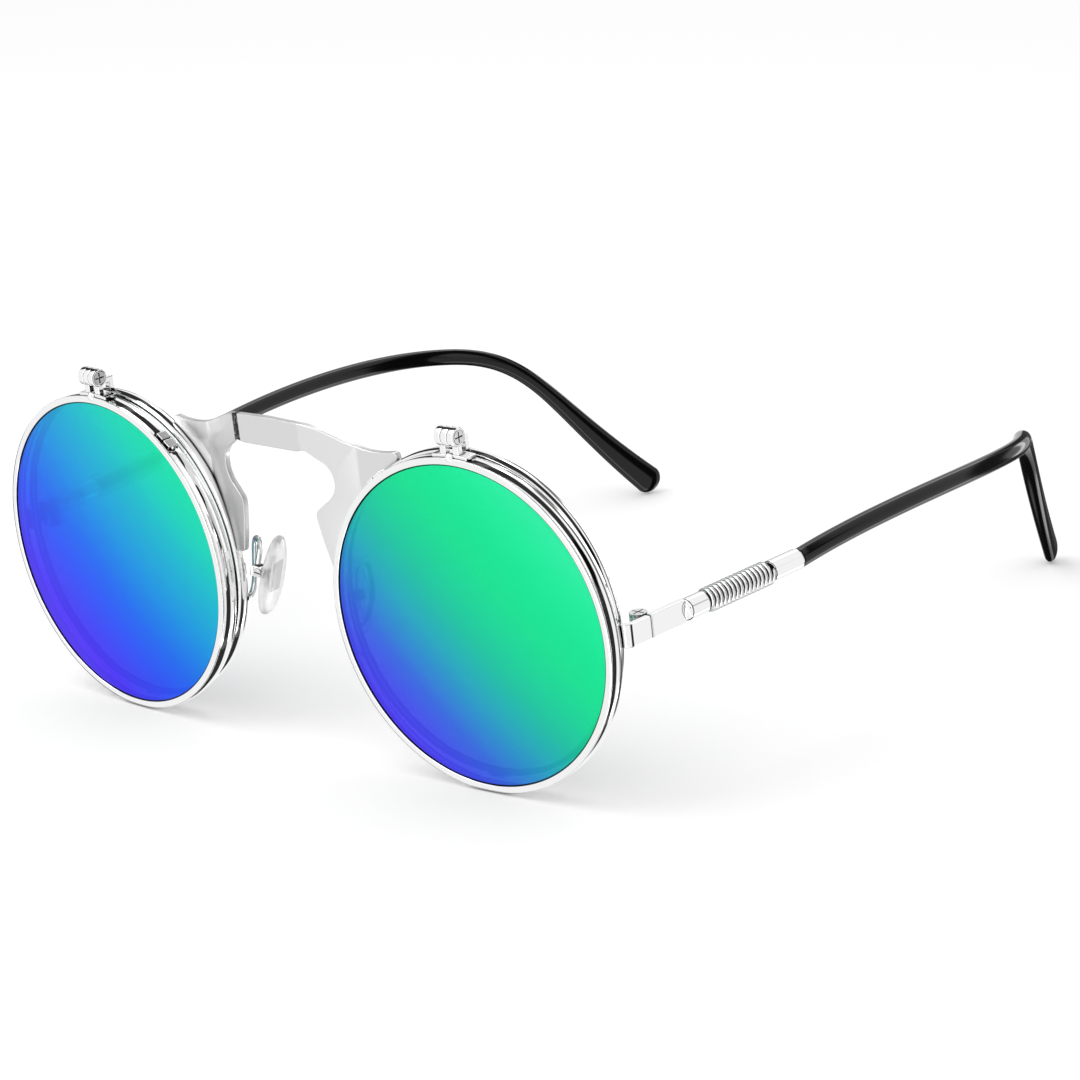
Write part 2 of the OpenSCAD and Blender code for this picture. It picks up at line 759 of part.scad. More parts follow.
// Temple strip: its front end stands clear of the endpiece, its back end holds the ferrule
module ferrule_shape(r) {
    nose = r * 0.55;
    translate([shaft_x, 0, shaft_z])
    rotate([-90, 0, 0])
    rotate_extrude($fn = small_fn)
    polygon(concat(
        [[0, ferrule_start]],
        [for (a = [15 : 15 : 90]) [r * sin(a), ferrule_start + nose * (1 - cos(a))]],
        [[r, ferrule_start + ferrule_len], [0, ferrule_start + ferrule_len]]
    ));
}
module temple_strip(s) {
    color("gainsboro") side(s)
    difference() {
        at_temple()
        difference() {
            translate([strip_in, -1, shaft_z - strip_h / 2])
            cube([strip_t, strip_len + 1, strip_h]);
            ferrule_shape(ferrule_d / 2 + seat_fit);
        }
        translate([hinge_x, hinge_y - 3, -10])
        cube([6, 3 - 0.1 + split_gap / 2, 20]);
    }
}
module ferrule(s) {
    color("gainsboro") side(s) at_temple()
    difference() {
        ferrule_shape(ferrule_d / 2);
        translate([shaft_x, 0, shaft_z])
        rod_y(rod_d / 2 + seat_fit, ferrule_start + 1, ferrule_start + ferrule_len + 1);
    }
}
module collar(s) {
    color("gainsboro") side(s) at_temple()
    translate([shaft_x, 0, shaft_z])
    difference() {
        rod_y(collar_d / 2, collar_start, sleeve_start);
        rod_y(rod_d / 2 + seat_fit, collar_start - 1, sleeve_start + 1);
    }
}

// Spring: one tube that winds round the rod, with ends that run straight into its neighbours
spring_rings = 8;
spring_sides = 6;
spring_r = (spring_d - spring_wire) / 2;
function spring_spot(a, y) = [shaft_x + spring_r * cos(a), y, shaft_z + spring_r * sin(a)];
spring_turns = [for (i = [0 : spring_curls * spring_rings]) 360 * i / spring_rings];
wind_start = spring_start + spring_end_run;
end_a = 360 * spring_curls;
spring_path = concat(
    [spring_spot(-24, spring_start + seat_fit), spring_spot(-24, spring_start + spring_wire * 0.6)],
    [for (a = spring_turns) spring_spot(a, wind_start + spring_pitch * a / 360)],
    [spring_spot(end_a + 24, collar_start - spring_wire * 0.6)],
    [spring_spot(end_a + 24, collar_start - seat_fit)]
);
spring_guides = [for (p = spring_path) unit([p.x - shaft_x, 0, p.z - shaft_z])];
spring_points = ring_points(spring_path, spring_guides, same(spring_wire / 2, spring_path),
    same(spring_wire / 2, spring_path), spring_sides);
// Least gap from a point of one curl to a point of the next, over the wound part
function curl_gap(i) = min([
    for (j = [spring_rings - 1 : spring_rings + 1])
        for (p = [0 : spring_sides - 1])
            for (q = [0 : spring_sides - 1])
                norm(spring_points[i * spring_sides + p] - spring_points[(i + j) * spring_sides + q])
]);
least_gap = min([for (i = [2 : len(spring_path) - spring_rings - 4]) curl_gap(i)]);
echo("least gap between curls of the spring", least_gap);
module spring(s) {
    color("silver") side(s) at_temple()
    polyhedron(spring_points, tube_faces(len(spring_path), spring_sides));
}

// Core: a straight rod through the spring, then a thinner wire along the inside of the sleeve
core_path = concat([sleeve_mouth - [0, 0.3, 0], sleeve_mouth + [0, sleeve_lead / 2, 0]],
    straight_part(), hook_part(core_share));
module core_wire(s) {
    thick = same(core_r, core_path);
    color("darkgray") side(s) at_temple()
    union() {
        translate([shaft_x, 0, shaft_z])
        rod_y(rod_d / 2, ferrule_start + 1 + seat_fit, sleeve_start - seat_fit);
        tube(core_path, same(up, core_path), thick, thick, core_sides);
    }
}
module sleeve(s) {
    last = len(core_path) - 1;
    bore = concat(core_path, [core_path[last] + unit(core_path[last] - core_path[last - 1]) * 0.3]);
    wide = same(core_r + running_fit, bore);
    color([0.08, 0.08, 0.08]) side(s) at_temple()
    difference() {
        polyhedron(sleeve_points, tube_faces(len(sleeve_path), sleeve_sides));
        tube(bore, same(up, bore), wide, wide, core_sides);
    }
}

// Nose pad frame: Z along the pad, Y across it to the back, X out to the arm
function bulge(u) = pow(max(0, 1 - u * u), 0.42);
pad_u = [for (i = [0 : pad_rings]) -cos(8 + 164 * i / pad_rings)];
pad_path = [for (u = pad_u) [0, 0, u * pad_len / 2]];
pad_across = [for (u = pad_u) pad_w / 2 * bulge(u) * (1 - 0.12 * u)];
pad_thick = [for (u = pad_u) pad_t / 2 * pow(max(0, 1 - u * u), 0.35)];
module nose_pad(s) {
    color([0.9, 0.92, 0.93, 0.7]) side(s) at_pad()
    difference() {
        tube(pad_path, same([1, 0, 0], pad_path), pad_across, pad_thick, pad_sides);
        insert_shape(seat_fit);
    }
}
module insert_shape(fit) {
    plate = [0.5, 3.2, 6];
    translate([-plate.x / 2 - fit, -plate.y / 2 - fit, -plate.z / 2 - fit])
    cube(plate + 2 * fit * [1, 1, 1]);
    translate([0, -lug_w / 2 - fit, -lug_r - fit])
    cube([pad_reach, lug_w + 2 * fit, 2 * (lug_r + fit)]);
}
module pad_insert(s) {
    color("silver") side(s) at_pad()
    difference() {
        union() {
            insert_shape(0);
            translate([pad_reach, 0, 0])
            rod_y(lug_r, -lug_w / 2, lug_w / 2);
        }
        translate([pad_reach, 0, 0])
        rod_y(pad_pin_r + running_fit, -lug_w, lug_w);
    }
}
box_back = 1.3;
module pad_box(s) {
    slot = lug_w / 2 + side_fit;
    back_x = lug_r + 0.15;
    color("silver") side(s) at_pad()
    translate([pad_reach, 0, 0])
    difference() {
        union() {
            rod_y(box_r, -slot - cheek_t, slot + cheek_t);
            translate([0, -slot - cheek_t, -box_r])
            cube([box_back, 2 * (slot + cheek_t), 2 * box_r]);
        }
        translate([-3, -slot, -3])
        cube([3 + back_x, 2 * slot, 6]);
        rod_y(pad_pin_r + seat_fit, -5, 5);
    }
}
module pad_screw(s) {
    half = lug_w / 2 + side_fit + cheek_t;
    head_r = 0.6;
    head_t = 0.3;
    color("darkgray") side(s) at_pad()
    translate([pad_reach, 0, 0])
    difference() {
        union() {
            rod_y(pad_pin_r, -half, half);
            rod_y(head_r, -half - head_t, -half);
        }
        translate([-head_r, -half - head_t - 0.1, -0.1])
        cube([2 * head_r, 0.3, 0.2]);
    }
}

// Pad arm: a wire from the back of the rear rim, over a loop and down to the pad's box
function pad_to_face(p) = let (a = pad_turn_splay) let (b = pad_turn_in) let (c = pad_turn_back)
    let (x = p.x * cos(a) - p.y * sin(a)) let (y = p.x * sin(a) + p.y * cos(a))
    let (xx = x * cos(b) + p.z * sin(b)) let (zz = p.z * cos(b) - x * sin(b))
    pad_mid + [xx, y * cos(c) - zz * sin(c), y * sin(c) + zz * cos(c)];
arm_lead = 0.3;
arm_end_x = pad_reach + box_back - arm_d / 2 - 0.15;
arm_end = pad_to_face([arm_end_x, 0, box_r + seat_fit]);
arm_end_lead = pad_to_face([arm_end_x, 0, box_r + seat_fit + arm_lead]);
arm_end_up = pad_to_face([arm_end_x, 0, box_r + 2.2]);
arm_foot_z = -5.5;
arm_foot_r = rear_r - rim_wall + arm_d / 4;
rim_back = [-sin(wrap_angle), cos(wrap_angle), 0];
arm_foot = let (dx = -sqrt(arm_foot_r * arm_foot_r - arm_foot_z * arm_foot_z))
    [rear_x + dx * cos(wrap_angle), rear_y + dx * sin(wrap_angle), rear_rise + arm_foot_z]
    + rim_back * (rear_rim_depth + seat_fit);
arm_foot_lead = arm_foot + rim_back * arm_lead;
arm_top = arm_end + [0.9, 1.4, arm_loop];
arm_steps = 8;
arm_sides = 10;
arm_path = concat(
    [arm_foot],
    [for (i = [0 : arm_steps])
        curve(arm_foot_lead, arm_foot_lead + [0.2, 2.8, 0.5], arm_top + [1.9, 0.4, -0.2], arm_top,
            i / arm_steps)],
    [for (i = [1 : arm_steps])
        curve(arm_top, arm_top + [-1.3, -0.27, 0.14], arm_end_up, arm_end_lead, i / arm_steps)],
    [arm_end]
);
module pad_arm(s) {
    wire = same(arm_d / 2, arm_path);
    color("silver") side(s)
    tube(arm_path, same([1, -1, 0], arm_path), wire, wire, arm_sides);
}

rear_rim(-1);  // rear_rim_left
rear_rim(1);  // rear_rim_right
rear_lens(-1);  // rear_lens_left
rear_lens(1);  // rear_lens_right
rear_lock(-1);  // rear_lock_left
rear_lock(1);  // rear_lock_right
rear_lock_screw(-1);  // rear_lock_screw_left
rear_lock_screw(1);  // rear_lock_screw_right
bridge();
endpiece(-1);  // endpiece_left
endpiece(1);  // endpiece_right
front_hinge(-1);  // front_hinge_left
front_hinge(1);  // front_hinge_right
hinge_screw(-1);  // hinge_screw_left
hinge_screw(1);  // hinge_screw_right
flip_bracket(-1);  // flip_bracket_left
flip_bracket(1);  // flip_bracket_right
flip_screw(-1);  // flip_screw_left
flip_screw(1);  // flip_screw_right
pad_arm(-1);  // pad_arm_left
pad_arm(1);  // pad_arm_right
pad_box(-1);  // pad_box_left
pad_box(1);  // pad_box_right
pad_screw(-1);  // pad_screw_left
pad_screw(1);  // pad_screw_right
flip_rim(-1);  // flip_rim_left
flip_rim(1);  // flip_rim_right
flip_lens(-1);  // flip_lens_left
flip_lens(1);  // flip_lens_right
flip_knuckle(-1);  // flip_knuckle_left
flip_knuckle(1);  // flip_knuckle_right
flip_lock(-1);  // flip_lock_left
flip_lock(1);  // flip_lock_right
flip_lock_screw(-1);  // flip_lock_screw_left
flip_lock_screw(1);  // flip_lock_screw_right
temple_hinge(-1);  // temple_hinge_left
temple_hinge(1);  // temple_hinge_right
temple_strip(-1);  // temple_strip_left
temple_strip(1);  // temple_strip_right
ferrule(-1);  // ferrule_left
ferrule(1);  // ferrule_right
spring(-1);  // spring_left
spring(1);  // spring_right
core_wire(-1);  // core_wire_left
core_wire(1);  // core_wire_right
collar(-1);  // collar_left
collar(1);  // collar_right
sleeve(-1);  // sleeve_left
sleeve(1);  // sleeve_right
nose_pad(-1);  // nose_pad_left
nose_pad(1);  // nose_pad_right
pad_insert(-1);  // pad_insert_left
pad_insert(1);  // pad_insert_right
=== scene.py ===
import math
import bmesh
import bpy
import numpy as np
from mathutils import Matrix, Vector
from mathutils.geometry import delaunay_2d_cdt


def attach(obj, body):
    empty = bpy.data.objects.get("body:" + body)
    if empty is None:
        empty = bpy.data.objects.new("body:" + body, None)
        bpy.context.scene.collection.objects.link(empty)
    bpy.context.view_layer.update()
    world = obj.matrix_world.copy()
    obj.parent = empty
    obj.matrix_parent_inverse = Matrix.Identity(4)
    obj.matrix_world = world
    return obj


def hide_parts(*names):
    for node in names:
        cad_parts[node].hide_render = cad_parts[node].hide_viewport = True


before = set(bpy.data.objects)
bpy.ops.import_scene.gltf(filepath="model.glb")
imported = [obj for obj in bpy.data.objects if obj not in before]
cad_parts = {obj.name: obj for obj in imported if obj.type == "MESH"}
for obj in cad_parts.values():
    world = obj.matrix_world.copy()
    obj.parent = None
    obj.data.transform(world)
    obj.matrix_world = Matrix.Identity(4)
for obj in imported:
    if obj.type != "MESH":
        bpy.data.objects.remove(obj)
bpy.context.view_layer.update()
mm = 0.001
print("frame loaded:", len(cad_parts), "nodes")

# Where the face frame stands: tipped about X, then lifted and moved, in mm and degrees
standing = {"tilt": 3.50825, "lift": 24.9348, "middleY": 65.7262, "wrap": 3.6, "splay": 4.2}
play = {"pin": 0.05, "seat": 0.02}  # running room of the hinge pins, and of parts that stay put
sides = {"right": 1, "left": -1}  # the left half is the right one mirrored in X


def turn(points, degrees, axis):
    # turns points about a coordinate axis through the origin
    p = np.array(points, float)
    c, s = math.cos(math.radians(degrees)), math.sin(math.radians(degrees))
    i, j = {"x": (1, 2), "y": (2, 0), "z": (0, 1)}[axis]
    q = p.copy()
    q[..., i] = p[..., i] * c - p[..., j] * s
    q[..., j] = p[..., i] * s + p[..., j] * c
    return q


def toWorld(points, side=1):
    # face frame in mm to the part's frame in metres: mirror, tip, lift and move
    p = np.array(points, float)
    p[..., 0] *= side
    p = turn(p, standing["tilt"], "x")
    return (p + [0, -standing["middleY"], standing["lift"]]) * mm


def hexColour(text):
    # sRGB hex to linear
    c = np.array([int(text[i:i + 2], 16) for i in (1, 3, 5)]) / 255
    c = np.where(c <= 0.04045, c / 12.92, ((c + 0.055) / 1.055) ** 2.4)
    return (*c.tolist(), 1.0)


# Sizes and places of the rims, in the face frame, with the two rows' own sizes under their names
rim = {
    "flipX": 36.9, "rearX": 35.9, "rearY": 3.3804, "rearRise": 0.8,
    "flipR": 25.0, "flipLensR": 24.3, "flipDepth": 3.1, "flipLip": 0.3,
    "rearR": 24.4, "rearLensR": 23.7, "rearDepth": 1.9, "rearLip": 0.25,
    "flipLensThick": 1.8, "rearLensThick": 1.3, "fit": 0.05, "cover": 0.3, "baseR": 230.0,
    "flipBands": ((0.16, 0.44), (0.62, 3.02)), "rearBands": ((0.12, 1.8),),
    "lineDepth": 0.34, "crown": 0.13, "shoulder": 0.3, "segments": 256,
}


def atFlip(p):
    # from a lens's own frame to the face frame: turned by the wrap, then moved
    return turn(p, standing["wrap"], "z") + [rim["flipX"], 0, 0]


def atRear(p):
    # the same for the rear rims
    return turn(p, standing["wrap"], "z") + [rim["rearX"], rim["rearY"], rim["rearRise"]]


hinge = {"x": 60.0519, "y": 10.0725, "low": -1.45, "height": 3.6, "r": 1.3, "pin": 0.7,
         "gap": 0.06, "stripIn": 1.4, "stripT": 1.0, "leafIn": 0.8, "leafLen": 1.3, "inset": 0.1,
         "plateIn": 0.68, "plateLen": 5.6}


def atTemple(p):
    # from the hinge axis to the face frame: turned by the splay, then moved
    return turn(p, -standing["splay"], "z") + [hinge["x"], hinge["y"], 0]


pad = {"mid": (8.7, 6.14831, -1.2), "back": -9, "inward": -13, "splay": -18, "len": 12.5,
       "w": 7.0, "t": 2.2, "reach": 2.0, "boxR": 0.8, "lugR": 0.65, "lugW": 1.2, "cheek": 0.4,
       "boxBack": 1.3, "wire": 0.85, "loop": 3.6, "footDrop": 5.5,
       "lead": 0.3, "insert": (0.25, 1.3, 2.3)}


def atPad(p):
    # from the pad's pin to the face frame: turned about Z, Y and X, then moved
    q = turn(p, pad["splay"], "z")
    q = turn(q, pad["inward"], "y")
    return turn(q, pad["back"], "x") + list(pad["mid"])


# Shells are pairs of vertices and faces, in the face frame
def gridShell(points, wrapU=False, wrapV=False, caps=False):
    # a surface p(u, v) given on a grid, as quads; caps close the first and last rows
    m, n = points.shape[:2]
    i, j = np.meshgrid(np.arange(m if wrapU else m - 1), np.arange(n if wrapV else n - 1),
                       indexing="ij")
    k, l = (i + 1) % m, (j + 1) % n
    faces = np.stack([i * n + j, i * n + l, k * n + l, k * n + j], -1).reshape(-1, 4).tolist()
    if caps:
        faces.append(list(range(n))[::-1])
        faces.append(list(range((m - 1) * n, m * n)))
    return points.reshape(-1, 3), faces


def rounded(outline, radius, steps=3):
    # each corner of a closed outline becomes an arc: a quadratic curve between its two cuts
    p = np.array(outline, float)
    before, after = np.roll(p, 1, 0) - p, np.roll(p, -1, 0) - p
    lb, la = np.linalg.norm(before, axis=1), np.linalg.norm(after, axis=1)
    cut = np.minimum(radius, 0.45 * np.minimum(lb, la))[:, None]
    a, b = p + before / lb[:, None] * cut, p + after / la[:, None] * cut
    t = np.linspace(0, 1, steps + 1)[None, :, None]
    curve = a[:, None] * (1 - t) ** 2 + 2 * p[:, None] * t * (1 - t) + b[:, None] * t * t
    return curve.reshape(-1, 2)


def arc(c, r, a0, a1, n):
    # (cx + r cos a, cy + r sin a), a from a0 to a1 degrees in n steps
    a = np.radians(np.linspace(a0, a1, n + 1))
    return np.column_stack([c[0] + r * np.cos(a), c[1] + r * np.sin(a)])


def turned(profile, segments, closed=True):
    # profile (r, y) carried round the Y axis: (r cos a, y, r sin a)
    a = np.linspace(0, 2 * math.pi, segments, endpoint=False)[:, None]
    r, y = profile[:, 0][None], profile[:, 1][None]
    grid = np.stack([r * np.cos(a), y + 0 * a, r * np.sin(a)], -1)
    return gridShell(grid, wrapU=True, wrapV=closed)


def bar(r, low, high, axis, centre=(0, 0, 0), edge=0.08, hole=0.0, segments=48):
    # a turned bar with softened ends along an axis, bored where hole is given
    if hole:
        profile = rounded([[hole, low], [r, low], [r, high], [hole, high]], edge)
        shell, faces = turned(profile, segments)
    else:
        e, s = edge, 0.3 * edge
        profile = np.array([[0, low], [r - e, low], [r - s, low + s], [r, low + e],
                            [r, low + e + 0.04], [r, high - e - 0.04], [r, high - e],
                            [r - s, high - s], [r - e, high], [0, high]])
        shell, faces = turned(profile, segments, closed=False)
    shell = shell[:, {"x": [1, 0, 2], "y": [0, 1, 2], "z": [0, 2, 1]}[axis]]
    return shell + list(centre), faces


def prism(outline, low, high, axis="z"):
    # a flat outline carried straight along an axis
    p = np.array(outline, float)
    a = np.column_stack([p, np.full(len(p), float(low))])
    b = np.column_stack([p, np.full(len(p), float(high))])
    grid = np.stack([a, b])
    grid = grid[..., {"x": [2, 0, 1], "y": [0, 2, 1], "z": [0, 1, 2]}[axis]]
    return gridShell(grid, wrapV=True, caps=True)


def block(lowCorner, highCorner):
    # a box between two corners
    (x0, y0, z0), (x1, y1, z1) = lowCorner, highCorner
    return prism([[x0, y0], [x1, y0], [x1, y1], [x0, y1]], z0, z1)


def direction(path):
    # unit tangents: next point minus the one before, over the length
    d = np.empty_like(path)
    d[1:-1] = path[2:] - path[:-2]
    d[0], d[-1] = path[1] - path[0], path[-1] - path[-2]
    return d / np.linalg.norm(d, axis=1)[:, None]


def swept(path, guides, across, upright, count):
    # ellipse carried along a path: p + n * across * cos a + b * upright * sin a
    t = direction(path)
    n = np.cross(t, guides)
    n /= np.linalg.norm(n, axis=1)[:, None]
    b = np.cross(t, n)
    a = np.linspace(0, 2 * math.pi, count, endpoint=False)
    ring = (path[:, None] + n[:, None] * (across[:, None] * np.cos(a))[..., None]
            + b[:, None] * (upright[:, None] * np.sin(a))[..., None])
    return gridShell(ring, wrapV=True, caps=True)


def bezier(a, b, c, d, count, skip=0):
    # a (1 - t)^3 + 3 b t (1 - t)^2 + 3 c t^2 (1 - t) + d t^3, t from 0 to 1
    t = np.linspace(0, 1, count + 1)[skip:, None]
    a, b, c, d = (np.array(v, float) for v in (a, b, c, d))
    return a * (1 - t) ** 3 + 3 * b * t * (1 - t) ** 2 + 3 * c * t * t * (1 - t) + d * t ** 3


def outward(points, faces):
    # reverses a closed shell whose signed volume is negative
    total = 0.0
    for size in {len(f) for f in faces}:
        f = np.array([g for g in faces if len(g) == size])
        for k in range(1, size - 1):
            a, b, c = points[f[:, 0]], points[f[:, k]], points[f[:, k + 1]]
            total += np.einsum("ij,ij->i", a, np.cross(b, c)).sum()
    return faces if total > 0 else [f[::-1] for f in faces]


def addObject(name, data):
    # puts an object with this mesh, lamp or camera into the scene
    added = bpy.data.objects.new(name, data)
    bpy.context.collection.objects.link(added)
    return added


def makePiece(name, shells, place, side, body, material, node, sharp=35,
              bevel=0.0):
    # joins shells, puts them in their place, gives the piece its material, hands it to its body and
    # hides the CAD node it stands in for; a piece of a pair takes its side's name
    if side:
        name, node = name + "_" + side, node + "_" + side
    points, faces, start = [], [], 0
    for shell, shellFaces in shells:
        p = toWorld(place(shell), sides.get(side, 1))
        points.append(p)
        faces += [[i + start for i in f] for f in outward(p, shellFaces)]
        start += len(p)
    mesh = bpy.data.meshes.new(name)
    mesh.from_pydata(np.concatenate(points).tolist(), [], faces)
    edit = bmesh.new()
    edit.from_mesh(mesh)
    bmesh.ops.remove_doubles(edit, verts=edit.verts, dist=1e-8)
    edit.to_mesh(mesh)
    edit.free()
    mesh.polygons.foreach_set("use_smooth", [True] * len(mesh.polygons))
    mesh.set_sharp_from_angle(angle=math.radians(sharp))
    mesh.update()
    piece = addObject(name, mesh)
    piece.data.materials.append(material)
    if bevel:
        soft = piece.modifiers.new("soft edges", "BEVEL")
        soft.width = bevel * mm
        soft.segments = 3
        soft.limit_method = "ANGLE"
        soft.angle_limit = math.radians(35)
        soft.harden_normals = True
    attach(piece, body)
    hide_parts(node)
    return piece


# Materials
def addNode(tree, kind, links=(), **settings):
    # adds a node; names that are sockets set them, others set its properties
    node = tree.nodes.new(kind)
    for key, value in settings.items():
        if key in node.inputs.keys():
            node.inputs[key].default_value = value
        else:
            setattr(node, key, value)
    for source, socket in links:
        tree.links.new(source, node.inputs[socket])
    return node


def newMaterial(name, **values):
    # a material, its tree and its shader, with these values on the shader's sockets
    material = bpy.data.materials.new(name)
    material.use_nodes = True
    tree = material.node_tree
    shader = tree.nodes["Principled BSDF"]
    for key, value in values.items():
        shader.inputs[key].default_value = value
    return material, tree, shader


def fineWear(tree, shader, grainMm, low, high, bumpMm):
    # polishing haze: fine noise changes the roughness a little and gives a slight bump
    place = addNode(tree, "ShaderNodeTexCoord")
    noise = addNode(tree, "ShaderNodeTexNoise", [(place.outputs["Object"], "Vector")],
                    Scale=1 / (grainMm * mm), Detail=3.0, Roughness=0.6)
    rough = addNode(tree, "ShaderNodeMapRange", [(noise.outputs[0], "Value")],
                    **{"To Min": low, "To Max": high})
    tree.links.new(rough.outputs[0], shader.inputs["Roughness"])
    bump = addNode(tree, "ShaderNodeBump", [(noise.outputs[0], "Height")],
                   Strength=0.25, Distance=bumpMm * mm)
    tree.links.new(bump.outputs[0], shader.inputs["Normal"])


def paintedRecessShade(tree, shader, colour, reach):
    # painted shade: occlusion darkens the colour to near black in grooves and gaps narrower
    # than the reach
    near = addNode(tree, "ShaderNodeAmbientOcclusion", samples=8, Distance=reach * mm)
    ramp = addNode(tree, "ShaderNodeValToRGB", [(near.outputs["AO"], "Fac")])
    stops = ramp.color_ramp.elements
    stops[0].position, stops[0].color = 0.42, hexColour("#0C0C0C")
    stops[1].position, stops[1].color = 0.78, hexColour(colour)
    tree.links.new(ramp.outputs[0], shader.inputs["Base Color"])


# Nickel silver with a polished rhodium plate: near white, sharp reflections, faint polishing haze
plated, tree, shader = newMaterial("polishedPlate", Metallic=1.0, Roughness=0.07)
# painted shade: the rims' grooves and the gaps between parts darken to near black
paintedRecessShade(tree, shader, "#F2F2F2", 0.75)
fineWear(tree, shader, 0.6, 0.04, 0.08, 0.0004)

# The stamped bridge keeps a softer polish than the turned rims, so its reflections are blurred, and
# its left fold carries a painted reflection: a narrow dark band broken up by noise, in mm
paintedFoldReflection = {"x": -6.65, "half": 0.62, "soft": 0.13, "grain": 0.4}
pressedPlate, tree, shader = newMaterial("pressedPlate", Metallic=1.0, Roughness=0.34)
paintedRecessShade(tree, shader, "#DADADA", 0.9)
fineWear(tree, shader, 0.8, 0.3, 0.38, 0.0006)
# painted reflection: a dark band along the left fold, in patches of near black and grey
place = addNode(tree, "ShaderNodeTexCoord")
apart = addNode(tree, "ShaderNodeSeparateXYZ", [(place.outputs["Object"], 0)])
aside = addNode(tree, "ShaderNodeMath", [(apart.outputs[0], 0)], operation="SUBTRACT")
aside.inputs[1].default_value = paintedFoldReflection["x"] * mm
away = addNode(tree, "ShaderNodeMath", [(aside.outputs[0], 0)], operation="ABSOLUTE")
reflectionNoise = addNode(tree, "ShaderNodeTexNoise", [(place.outputs["Object"], "Vector")],
                Scale=1 / (paintedFoldReflection["grain"] * mm), Detail=2.0)
reflectionRamp = addNode(tree, "ShaderNodeValToRGB", [(reflectionNoise.outputs[0], "Fac")])
reflectionStops = reflectionRamp.color_ramp.elements
reflectionStops[0].position, reflectionStops[0].color = 0.5, hexColour("#161616")
reflectionStops[1].position, reflectionStops[1].color = 0.68, hexColour("#8E8E8E")
band = addNode(tree, "ShaderNodeMapRange", [(away.outputs[0], "Value")],
               **{"From Min": paintedFoldReflection["half"] * mm,
                  "From Max": (paintedFoldReflection["half"] + paintedFoldReflection["soft"]) * mm})
polished = shader.inputs["Base Color"].links[0].from_socket
blend = addNode(tree, "ShaderNodeMix", [(band.outputs[0], 0), (reflectionRamp.outputs[0], 6),
                                        (polished, 7)], data_type="RGBA")
tree.links.new(blend.outputs[2], shader.inputs["Base Color"])

# Stainless screws, turned and left a little duller: fine rings of the tool show as haze
screwSteel, tree, shader = newMaterial("turnedSteel", Metallic=1.0, Roughness=0.2)
# painted shade in narrow grooves and gaps, as on the plate
paintedRecessShade(tree, shader, "#DCDCDC", 0.3)
fineWear(tree, shader, 0.15, 0.12, 0.26, 0.001)

# Spring steel wire, drawn and plated, and the closing blocks: a fine grain, a little duller than
# the rims
springSteel, tree, shader = newMaterial("drawnWire", Metallic=1.0, Roughness=0.12)
# painted shade in narrow grooves and gaps, as on the plate
paintedRecessShade(tree, shader, "#F0F0F0", 0.4)
fineWear(tree, shader, 0.2, 0.06, 0.12, 0.0006)

# The rod inside the spring: painted shade, a near black colour for the shade between the coils
rodSteel, tree, shader = newMaterial("shadedRod", Metallic=1.0, Roughness=0.35, **{
    "Base Color": hexColour("#2A2A2C")})
fineWear(tree, shader, 0.3, 0.25, 0.45, 0.001)

# Cellulose acetate ear sleeves, tumbled glossy: deep black with a clear sharp sheen
acetate, tree, shader = newMaterial("blackAcetate", Roughness=0.12, IOR=1.36, **{
    "Base Color": hexColour("#070707")})
fineWear(tree, shader, 1.2, 0.09, 0.15, 0.001)

# Clear silicone nose pads: soft, slightly milky, with a weak gloss
silicone, tree, shader = newMaterial("clearSilicone", Roughness=0.22, IOR=1.33, **{
    "Base Color": hexColour("#FEFEFE"), "Transmission Weight": 0.85})
fineWear(tree, shader, 0.8, 0.14, 0.26, 0.002)

# Clear CR-39 rear lenses: hard resin, optically smooth
resin, tree, shader = newMaterial("clearResin", Roughness=0.0, IOR=1.5, **{
    "Base Color": hexColour("#F8FBFA"), "Transmission Weight": 1.0})
place = addNode(tree, "ShaderNodeTexCoord")
ripple = addNode(tree, "ShaderNodeTexNoise", [(place.outputs["Object"], "Vector")],
                 Scale=1 / (6 * mm), Detail=1.0)
bump = addNode(tree, "ShaderNodeBump", [(ripple.outputs[0], "Height")], Strength=0.05,
               Distance=0.002 * mm)
tree.links.new(bump.outputs[0], shader.inputs["Normal"])

# Inside of the flip lenses: smoke-tinted polycarbonate without a coat
smoke, tree, shader = newMaterial("smokeLens", Roughness=0.02, IOR=1.5, **{
    "Transmission Weight": 1.0})
place = addNode(tree, "ShaderNodeTexCoord")
cloud = addNode(tree, "ShaderNodeTexNoise", [(place.outputs["Object"], "Vector")],
                Scale=1 / (20 * mm), Detail=1.0)
ramp = addNode(tree, "ShaderNodeValToRGB", [(cloud.outputs[0], "Fac")])
ramp.color_ramp.elements[0].color = hexColour("#A9B0B4")
ramp.color_ramp.elements[1].color = hexColour("#B6BCC0")
tree.links.new(ramp.outputs[0], shader.inputs["Base Color"])

# The film: its direction in degrees, half its run, its clouds, their drift in mm, where the painted
# seam shade starts and where it is full in mm, and the share of colour left under it
coat = {"angle": 46, "half": 24, "grain": 28, "drift": 0.8, "edgeR": 23.74, "seamShadeR": 23.84,
        "seamShadeLevel": 0.03}


